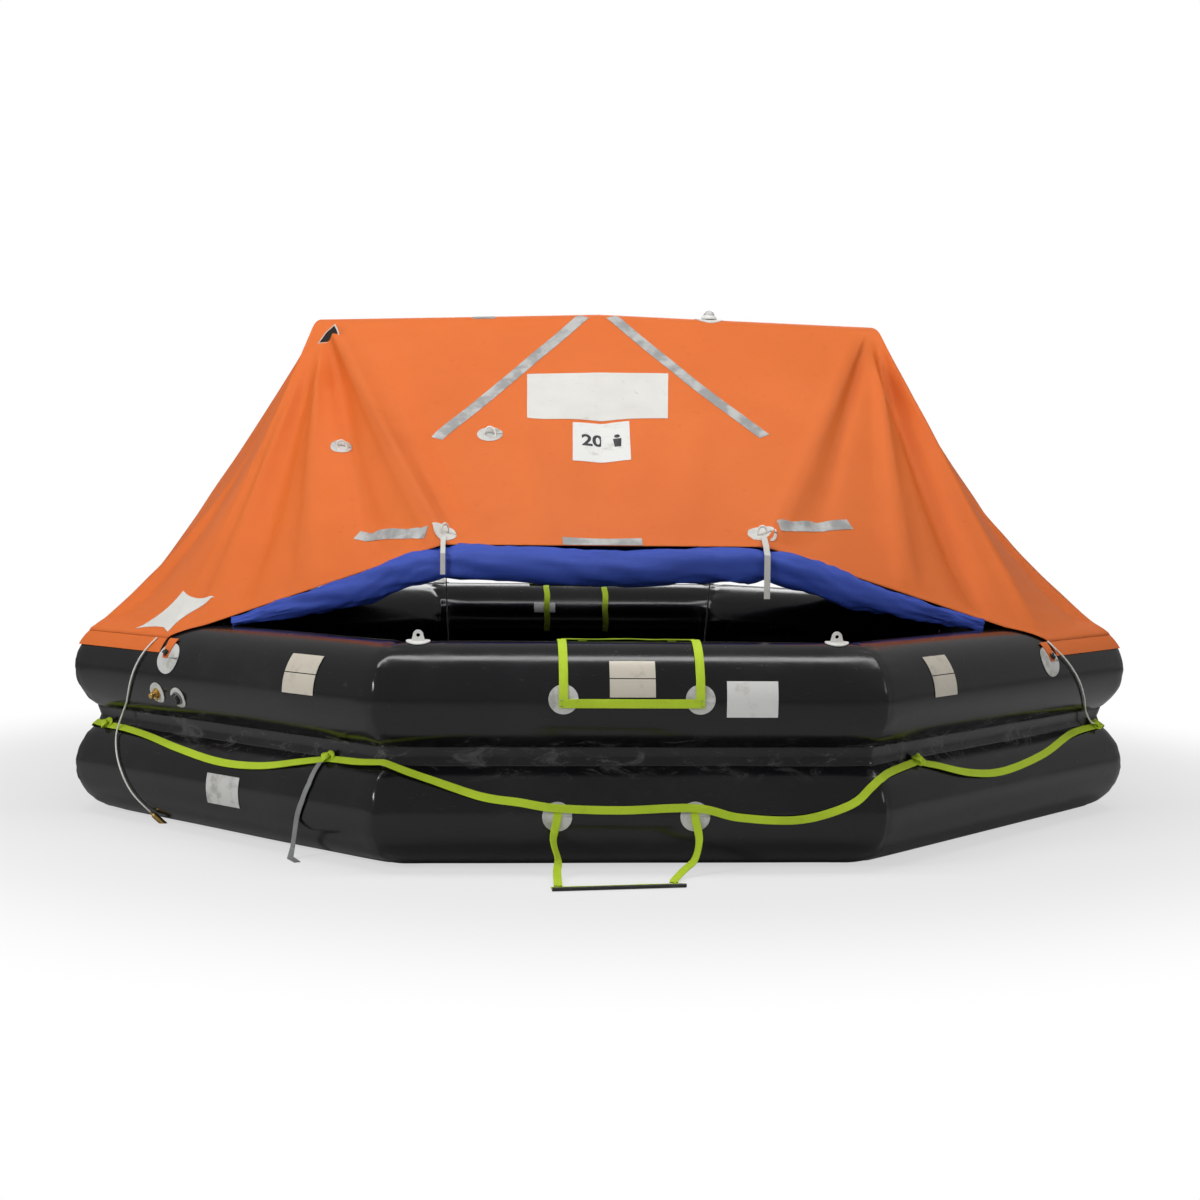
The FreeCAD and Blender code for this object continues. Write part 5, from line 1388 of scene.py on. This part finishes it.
# webbing, round patches and cloth tabs on the tubes; lengths in metres, angles in degrees
web = {
    "width": 0.027,
    "narrow": 0.025,
    "thick": 0.0026,
    "patch": 0.090,
    "patchThick": 0.002,
    "patchLift": 0.0003,
    "lift": 0.0026,
    "handleHalf": 0.206,
    "handleTurn": 100,
    "stitchShift": 0.0085,
    "stitchHalf": 0.011,
    "strapHalf": 0.139,
    "strapTurn": (105.5, 196),
    "ladderHalf": 0.208,
    "ladderShift": -0.014,
    "tabTurn": (21.5, 45.6),
    "tabThick": 0.0022,
    "knot": 0.0165,
    "knotRise": 0.014,
    "cornerKnot": 0.0085,
}


def tubeDisc(side, along, angle, height, diameter):
    # a round patch glued on a tube, its rim rounded over
    grid = []
    for step in range(9):
        reach = diameter / 2 * max(step / 8, 0.02)
        lift = web["patchLift"] if step < 8 else 0.0
        row = []
        for turn in range(41):
            way = math.tau * turn / 40
            spread = angle + math.degrees(reach * math.sin(way) / tubeRadius)
            row.append((tubePoint(side, along + reach * math.cos(way), spread, height, lift),
                        radialWay(side, spread)))
        grid.append(row)
    return dress(roundSlab("round_patch", grid, 0, web["patchThick"]), finishes["patch"])


def clothTab(side, along, way):
    # a crumpled tab that runs from a round patch up to the hem, wider at the hem
    start, stop = sorted((along - 0.010 * way, along + 0.036 * way))
    grid = []
    for step in range(13):
        angle = mixed(*web["tabTurn"], step / 12)
        half = (stop - start) / 2 * mixed(0.55, 1.0, step / 12)
        row = []
        for part in range(7):
            place = (start + stop) / 2 + half * (part / 3 - 1)
            crease = 0.0022 * abs(noise.noise(Vector((part * 0.9, step * 0.25, side))))
            row.append((tubePoint(side, place, angle, upperHeight, web["lift"] + 0.0004 + crease),
                        radialWay(side, angle)))
        grid.append(row)
    return dress(slab("corner_tab", grid, 0, web["tabThick"]), finishes["orange"])


def addPatches():
    discs = []
    for side in (front, rear):
        for way in (-1, 1):
            ladder = web["ladderHalf"] * way + web["ladderShift"]
            discs.append(tubeDisc(side, web["handleHalf"] * way, 4, upperHeight, web["patch"]))
            discs.append(tubeDisc(side, ladder, 0, lowerHeight, web["patch"]))
    joined("webbing_discs", discs, "grey_patch", ("strap_patches",))
    discs, tabs, knots = [], [], []
    for side, way in ((frontLeft, -1), (frontRight, 1), (rearLeft, 1), (rearRight, -1)):
        along = (cloth["cornerAlong"] - 0.056) * way
        discs.append(tubeDisc(side, along, 22, upperHeight, web["patch"] * 1.2))
        tabs.append(clothTab(side, along, way))
        middle = tubePoint(side, along + 0.012 * way, 27, upperHeight, 0.011)
        knots.append(knotPiece("corner_knot", middle, sideFrame(side)[1], radialWay(side, 27),
                               web["cornerKnot"], finishes["blackPlastic"]))
    joined("corner_discs", discs, "grey_patch", ("corner_patches",))
    joined("corner_cloth_tabs", tabs, "orange_canopy", ("corner_tabs",))
    joined("corner_knots", knots, "black_plastic")


def knotPiece(name, middle, run, out, size, material):
    # an overhand knot: a three-leaved closed turn of webbing, pulled flat
    run, out = run.normalized(), out.normalized()
    across = out.cross(run)
    line = []
    for step in range(49):
        turn = math.tau * step / 48
        x = (math.sin(turn) + 2 * math.sin(2 * turn)) * size * 0.36
        y = (math.cos(turn) - 2 * math.cos(2 * turn)) * size * 0.36
        z = -math.sin(3 * turn) * size * 0.4
        line.append(middle + run * x + across * y + out * z)
    rings = []
    for index, place in enumerate(line[:-1]):
        way = (line[(index + 1) % 48] - line[index - 1]).normalized()
        side = way.cross(out).normalized()
        up = side.cross(way)
        ring = []
        for turn in range(10):
            angle = math.tau * turn / 10
            ring.append(place + side * math.cos(angle) * size * 0.52 + up * math.sin(angle) * size * 0.24)
        rings.append(ring)
    return dress(loftRings(name, rings, closed=True), material)


def tubeWeb(side, places, lift, ripple, stand=0.0, width=web["width"], thick=web["thick"], finish="lime"):
    # webbing on the upper tube through (along, angle) places; stand lets it leave the skin a little
    outs = [radialWay(side, angle) for along, angle in places]
    line = []
    for out, (along, angle) in zip(outs, places):
        place = tubePoint(side, along, angle, upperHeight, lift)
        line.append(place + out * abs(stand * noise.noise(place * 7)))
    return dress(webbing("tube_web", line, outs, width, thick, ripple), finishes[finish])


def addHandles():
    half, lift = web["handleHalf"], web["lift"] + 0.0004
    spread = math.degrees(web["width"] / tubeRadius) / 2
    shares = [step / 40 for step in range(41)]
    for side, tag in ((front, "front"), (rear, "rear")):
        parts = []
        for way in (-1, 1):
            places = [(half * way, mixed(-spread, web["handleTurn"] + spread, share)) for share in shares]
            parts.append(tubeWeb(side, places, lift, 0.0012))
        for angle in (0, web["handleTurn"]):
            places = [(mixed(-half, half, share), angle) for share in shares]
            parts.append(tubeWeb(side, places, lift + 0.0005, 0.001, stand=0.004))
        for middle in (-half, half):
            for turn in (-1, 1):
                # stitches on each round patch
                angle = math.degrees(web["stitchShift"] * turn / tubeRadius)
                places = [(middle + mixed(-1, 1, step / 6) * web["stitchHalf"], angle) for step in range(7)]
                parts.append(tubeWeb(side, places, lift + web["thick"] + 0.0008, 0.0, width=0.0014,
                                     thick=0.0006, finish="greyWeb"))
        joined(f"{tag}_handle", parts, "lime_webbing", (f"{tag}_boarding_handle",))
    for side, tag in ((front, "front"), (rear, "rear")):
        parts = []
        for middle in (-web["strapHalf"], web["strapHalf"]):
            places = [(middle + 0.002 * math.sin(step / 3), mixed(*web["strapTurn"], step / 40))
                      for step in range(41)]
            parts.append(tubeWeb(side, places, web["lift"], 0.001))
        joined(f"{tag}_inside_straps", parts, "lime_webbing", (f"{tag}_inner_straps",))


# the grab line's knots, and its spans between them, as (side, along, angle) on the lower tube
lineKnots = [(frontLeft, 0.507, 53), (frontLeft, -0.670, 53), (frontRight, -0.517, 50),
             (frontRight, 0.686, 53)]
lineBights = [
    [(frontLeft, 0.507, 53), (frontLeft, 0.640, 53), (front, -0.700, 50), (front, -0.603, 37),
     (front, -0.453, 20), (front, -0.333, 14), (front, -0.223, 8.7), (front, -0.033, 6.7),
     (front, 0.193, 8.6), (front, 0.330, -0.5), (front, 0.512, -2.6), (front, 0.665, 11.5),
     (front, 0.735, 30), (frontRight, -0.700, 43), (frontRight, -0.517, 50)],
    [(frontLeft, 0.507, 53), (frontLeft, 0.393, 43), (frontLeft, 0.220, 32), (frontLeft, 0.021, 29),
     (frontLeft, -0.207, 36), (frontLeft, -0.436, 47), (frontLeft, -0.670, 53)],
    [(frontRight, -0.517, 50), (frontRight, -0.458, 43), (frontRight, -0.292, 27),
     (frontRight, -0.083, 20.5), (frontRight, 0.205, 29), (frontRight, 0.481, 47.5),
     (frontRight, 0.686, 53)],
    [(rearLeft, -0.507, 53), (rear, 0.700, 49), (rear, 0.400, 34), (rear, 0, 25), (rear, -0.400, 34),
     (rear, -0.700, 46), (rearRight, 0.517, 50)],
    [(frontLeft, -0.670, 53), (left, 0.690, 48), (left, 0.400, 34), (left, 0, 26), (left, -0.400, 34),
     (left, -0.690, 48), (rearLeft, 0.670, 53)],
    [(frontRight, 0.686, 53), (right, -0.690, 48), (right, -0.400, 34), (right, 0, 26),
     (right, 0.400, 34), (right, 0.690, 48), (rearRight, -0.686, 53)],
]


def mirroredPlaces(places):
    return [((rear - side) % 8, -along, angle) for side, along, angle in places]


def skinLine(places, lift):
    # a line over the lower tube through places on several sides, kept on its skin
    rough = [tubePoint(side, along, angle, lowerHeight, lift) for side, along, angle in places]
    line, outs = [], []
    for place in smoothLine(rough, 14):
        outward, alongWay, out, up = aroundTube(place, lowerHeight)
        way = (outward * out + Vector((0, 0, up))) / math.hypot(out, up)
        if not line or (place - line[-1]).length > 0.008:
            middle = outward * apothem + alongWay * alongWay.dot(place) + Vector((0, 0, lowerHeight))
            line.append(middle + way * (tubeRadius + lift))
            outs.append(way)
    for turn in range(3):
        outs = [(outs[max(0, index - 1)] + out + outs[min(len(outs) - 1, index + 1)]).normalized()
                for index, out in enumerate(outs)]
    return line, outs


def addLifeline():
    spans = []
    low = 0.0022
    runs = [(lineBights[0], web["lift"] + 0.0018)] + [(places, low) for places in lineBights[1:3]]
    runs += [(mirroredPlaces(places), low) for places in lineBights[1:3]]
    runs += [(places, low) for places in lineBights[3:]]
    for places, lift in runs:
        line, outs = skinLine(places, lift)
        for index, place in enumerate(line):
            loose = min(1, min(index, len(line) - 1 - index) / 8)
            stand = (0.0035 + 0.006 * noise.noise(place * 3.1)) * loose
            line[index] = place + outs[index] * max(0, stand)
            lean = 0.35 * noise.noise(place * 2.7 + Vector((5, 0, 0))) * loose
            outs[index] = outs[index] + Vector((0, 0, lean))
        span = webbing("line_span", line, outs, web["narrow"], 0.0024, 0.001)
        spans.append(dress(span, finishes["lime"]))
    joined("grab_line", spans, "lime_webbing", ("lifeline",))
    knots = []
    for side, along, angle in lineKnots + mirroredPlaces(lineKnots):
        middle, out = tubePoint(side, along, angle, lowerHeight, web["knotRise"]), radialWay(side, angle)
        knots.append(knotPiece("line_knot", middle, sideFrame(side)[1], out, web["knot"], finishes["lime"]))
        bar = [tubePoint(side, along, angle + mixed(-5, 5, step / 8), lowerHeight,
                         web["knotRise"] + 0.008 * math.sin(math.pi * step / 8)) for step in range(9)]
        knots.append(dress(webbing("knot_wrap", bar, [out] * 9, 0.019, 0.003), finishes["lime"]))
    joined("grab_line_knots", knots, "lime_webbing", ("lifeline_knots",))


def turnedRear(obj):
    for vertex in obj.data.vertices:
        vertex.co.x, vertex.co.y = -vertex.co.x, -vertex.co.y


# the boarding ladder: its step lies on the ground, turned a little
ladder = {
    "reach": 0.232,
    "turn": 7,
    "shift": -0.049,
    "footOut": 0.173,
    "footIn": 0.04,
    "footRise": 0.0036,
    "twist": 0.9,
    "bandHalf": 0.195,
    "bandIn": 0.0265,
    "bandWidth": 0.04,
    "bandThick": 0.003,
}


def ladderStrap(way, seat, twistWay):
    # one webbing leg from the lower tube to the step, twisted on its way
    half = raft["width"] / 2
    foot = seat @ Vector((ladder["footOut"] * way, ladder["footIn"], ladder["footRise"]))
    top = Vector((web["ladderHalf"] * way + web["ladderShift"], -half - 0.0026, lowerHeight - 0.004))
    route = [top + Vector((0, 0.001, 0.03)), top,
             Vector((top.x + 0.012 * way, top.y - 0.010, lowerHeight * 0.6)),
             Vector((top.x - 0.002 * way, top.y - 0.024, lowerHeight * 0.27)),
             Vector((mixed(top.x, foot.x, 0.5), mixed(top.y, foot.y, 0.33), 0.020)),
             foot + Vector((0, 0.03, 0.001)), foot - Vector((0, 0.012, 0))]
    line = smoothLine(route, 9)
    outs = []
    for index in range(len(line)):
        run = runAt(line, index)
        flat = Vector((1, 0.06 * way, 0)).cross(run).normalized()
        flat = flat if flat.z > 0 or flat.y < 0 else -flat
        twist = ladder["twist"] * twistWay * math.sin(math.pi * ease(0.12, 0.7, index / (len(line) - 1)))
        outs.append(Matrix.Rotation(twist, 3, run.normalized()) @ flat)
    strap = webbing("ladder_web", line, outs, web["narrow"], web["thick"], 0.0008)
    return dress(strap, finishes["lime"])


def stepBand(seat):
    line = []
    for step in range(41):
        rise = 0.0006 + abs(0.0012 * noise.noise(Vector((step * 0.35, 1, 0))))
        across = mixed(-ladder["bandHalf"], ladder["bandHalf"], step / 40)
        line.append(seat @ Vector((across, ladder["bandIn"], rise)))
    outs = [Vector((0, 0, 1))] * len(line)
    band = webbing("step_web", line, outs, ladder["bandWidth"], ladder["bandThick"], 0.0008)
    return dress(band, finishes["lime"])


def addLadders():
    turn = Matrix.Rotation(math.radians(ladder["turn"]), 4, "Z")
    place = (ladder["shift"], -(raft["width"] / 2 + ladder["reach"]), 0)
    seat = Matrix.Translation(place) @ turn
    for tag, mirror in (("front", 1), ("rear", -1)):
        straps = [ladderStrap(way, seat, way * mirror) for way in (-1, 1)]
        band = stepBand(seat)
        if tag == "rear":
            for piece in straps + [band]:
                turnedRear(piece)
        joined(f"{tag}_ladder_webs", straps, "lime_webbing", (f"{tag}_ladder_straps",))
        joined(f"{tag}_step_web", [band], "lime_webbing", (f"{tag}_step_webbing",))


addPatches()
addHandles()
addLifeline()
addLadders()
print("patches, handles, grab line and boarding ladders made")


# cords

def cordCurve(name, places, node):
    bpy.ops.curve.primitive_nurbs_path_add()
    obj = bpy.context.object
    obj.name = name
    curve = obj.data
    curve.splines.clear()
    spline = curve.splines.new("NURBS")
    spline.points.add(len(places) - 1)
    for point, place in zip(spline.points, places):
        point.co = (*place, 1)
    spline.order_u = 3
    spline.use_endpoint_u = True
    spline.resolution_u = 10
    curve.dimensions = "3D"
    curve.bevel_depth = cords["diameter"] / 2
    curve.bevel_resolution = 4
    curve.use_fill_caps = True
    return dress(obj, finishes["cord"], slot="white_cord", replaced=(node,))


cords = {
    "diameter": 0.006,
    "lift": 0.0048,
    "cable": [("upper", -0.346, 44), ("upper", -0.368, 31), ("upper", -0.392, 16), ("upper", -0.420, -1),
              ("upper", -0.452, -18), ("upper", -0.500, -36), ("upper", -0.560, -50), ("lower", -0.590, 46),
              ("lower", -0.556, 32), ("lower", -0.522, 17), ("lower", -0.488, 2), ("lower", -0.458, -14),
              ("lower", -0.430, -30), ("lower", -0.400, -47)],
    "corner": [("upper", 0.286, 46), ("upper", 0.298, 36), ("upper", 0.328, 26), ("upper", 0.372, 11),
               ("upper", 0.424, -5), ("upper", 0.480, -22), ("upper", 0.540, -38), ("upper", 0.604, -52)],
}


def skinRoute(side, route):
    heights = {"upper": upperHeight, "lower": lowerHeight}
    lift = cords["lift"] + cords["diameter"] / 2
    return [tubePoint(side, along, angle, heights[tube], lift) for tube, along, angle in route]


def addCords():
    places = skinRoute(frontLeft, cords["cable"])
    cable = cordCurve("lamp_cable", places, "light_cable")
    tuple(places[0])
    places = skinRoute(frontRight, cords["corner"])
    # it ends against the knot at this corner
    side, along, angle = lineKnots[3]
    knotRadius = web["width"] / 2
    lift = knotRadius + 0.0035 + raft["clear"]
    for short in (0.024, raft["clear"]):
        places.append(tubePoint(side, along - knotRadius * 1.2 - short, angle, lowerHeight, lift))
    corner = cordCurve("corner_white_cord", places, "corner_cord")
    tuple(places[0])


addCords()
print("cords made")


# pieces that keep their solids: only the finish is new

keep = {
    "blackPlastic": ("topping_up_cap", "front_step_rod", "rear_step_rod"),
    "brass": ("inlet_valve", "sea_cell"),
    "cord": ("rear_door_stays",),
    "greyWeb": ("grey_webbing_loop",),
    "innerRubber": ("water_pockets",),
    "lens": ("light_lens",),
    "patch": ("topping_up_pad", "inlet_pad"),
    "tape": ("ridge_patch",),
    "valve": ("topping_up_valve",),
    "white": ("light_pad", "left_tie_tape", "right_tie_tape"),
    "whitePlastic": ("crown_eyes", "light_base"),
}
for finish, nodes in keep.items():
    for node in nodes:
        mesh = bpy.data.objects[node].data
        if not mesh.uv_layers:
            mesh.uv_layers.new(name="cloth")
        mesh.materials.clear()
        mesh.materials.append(finishes[finish])
print("kept solids dressed:", sum(len(nodes) for nodes in keep.values()))
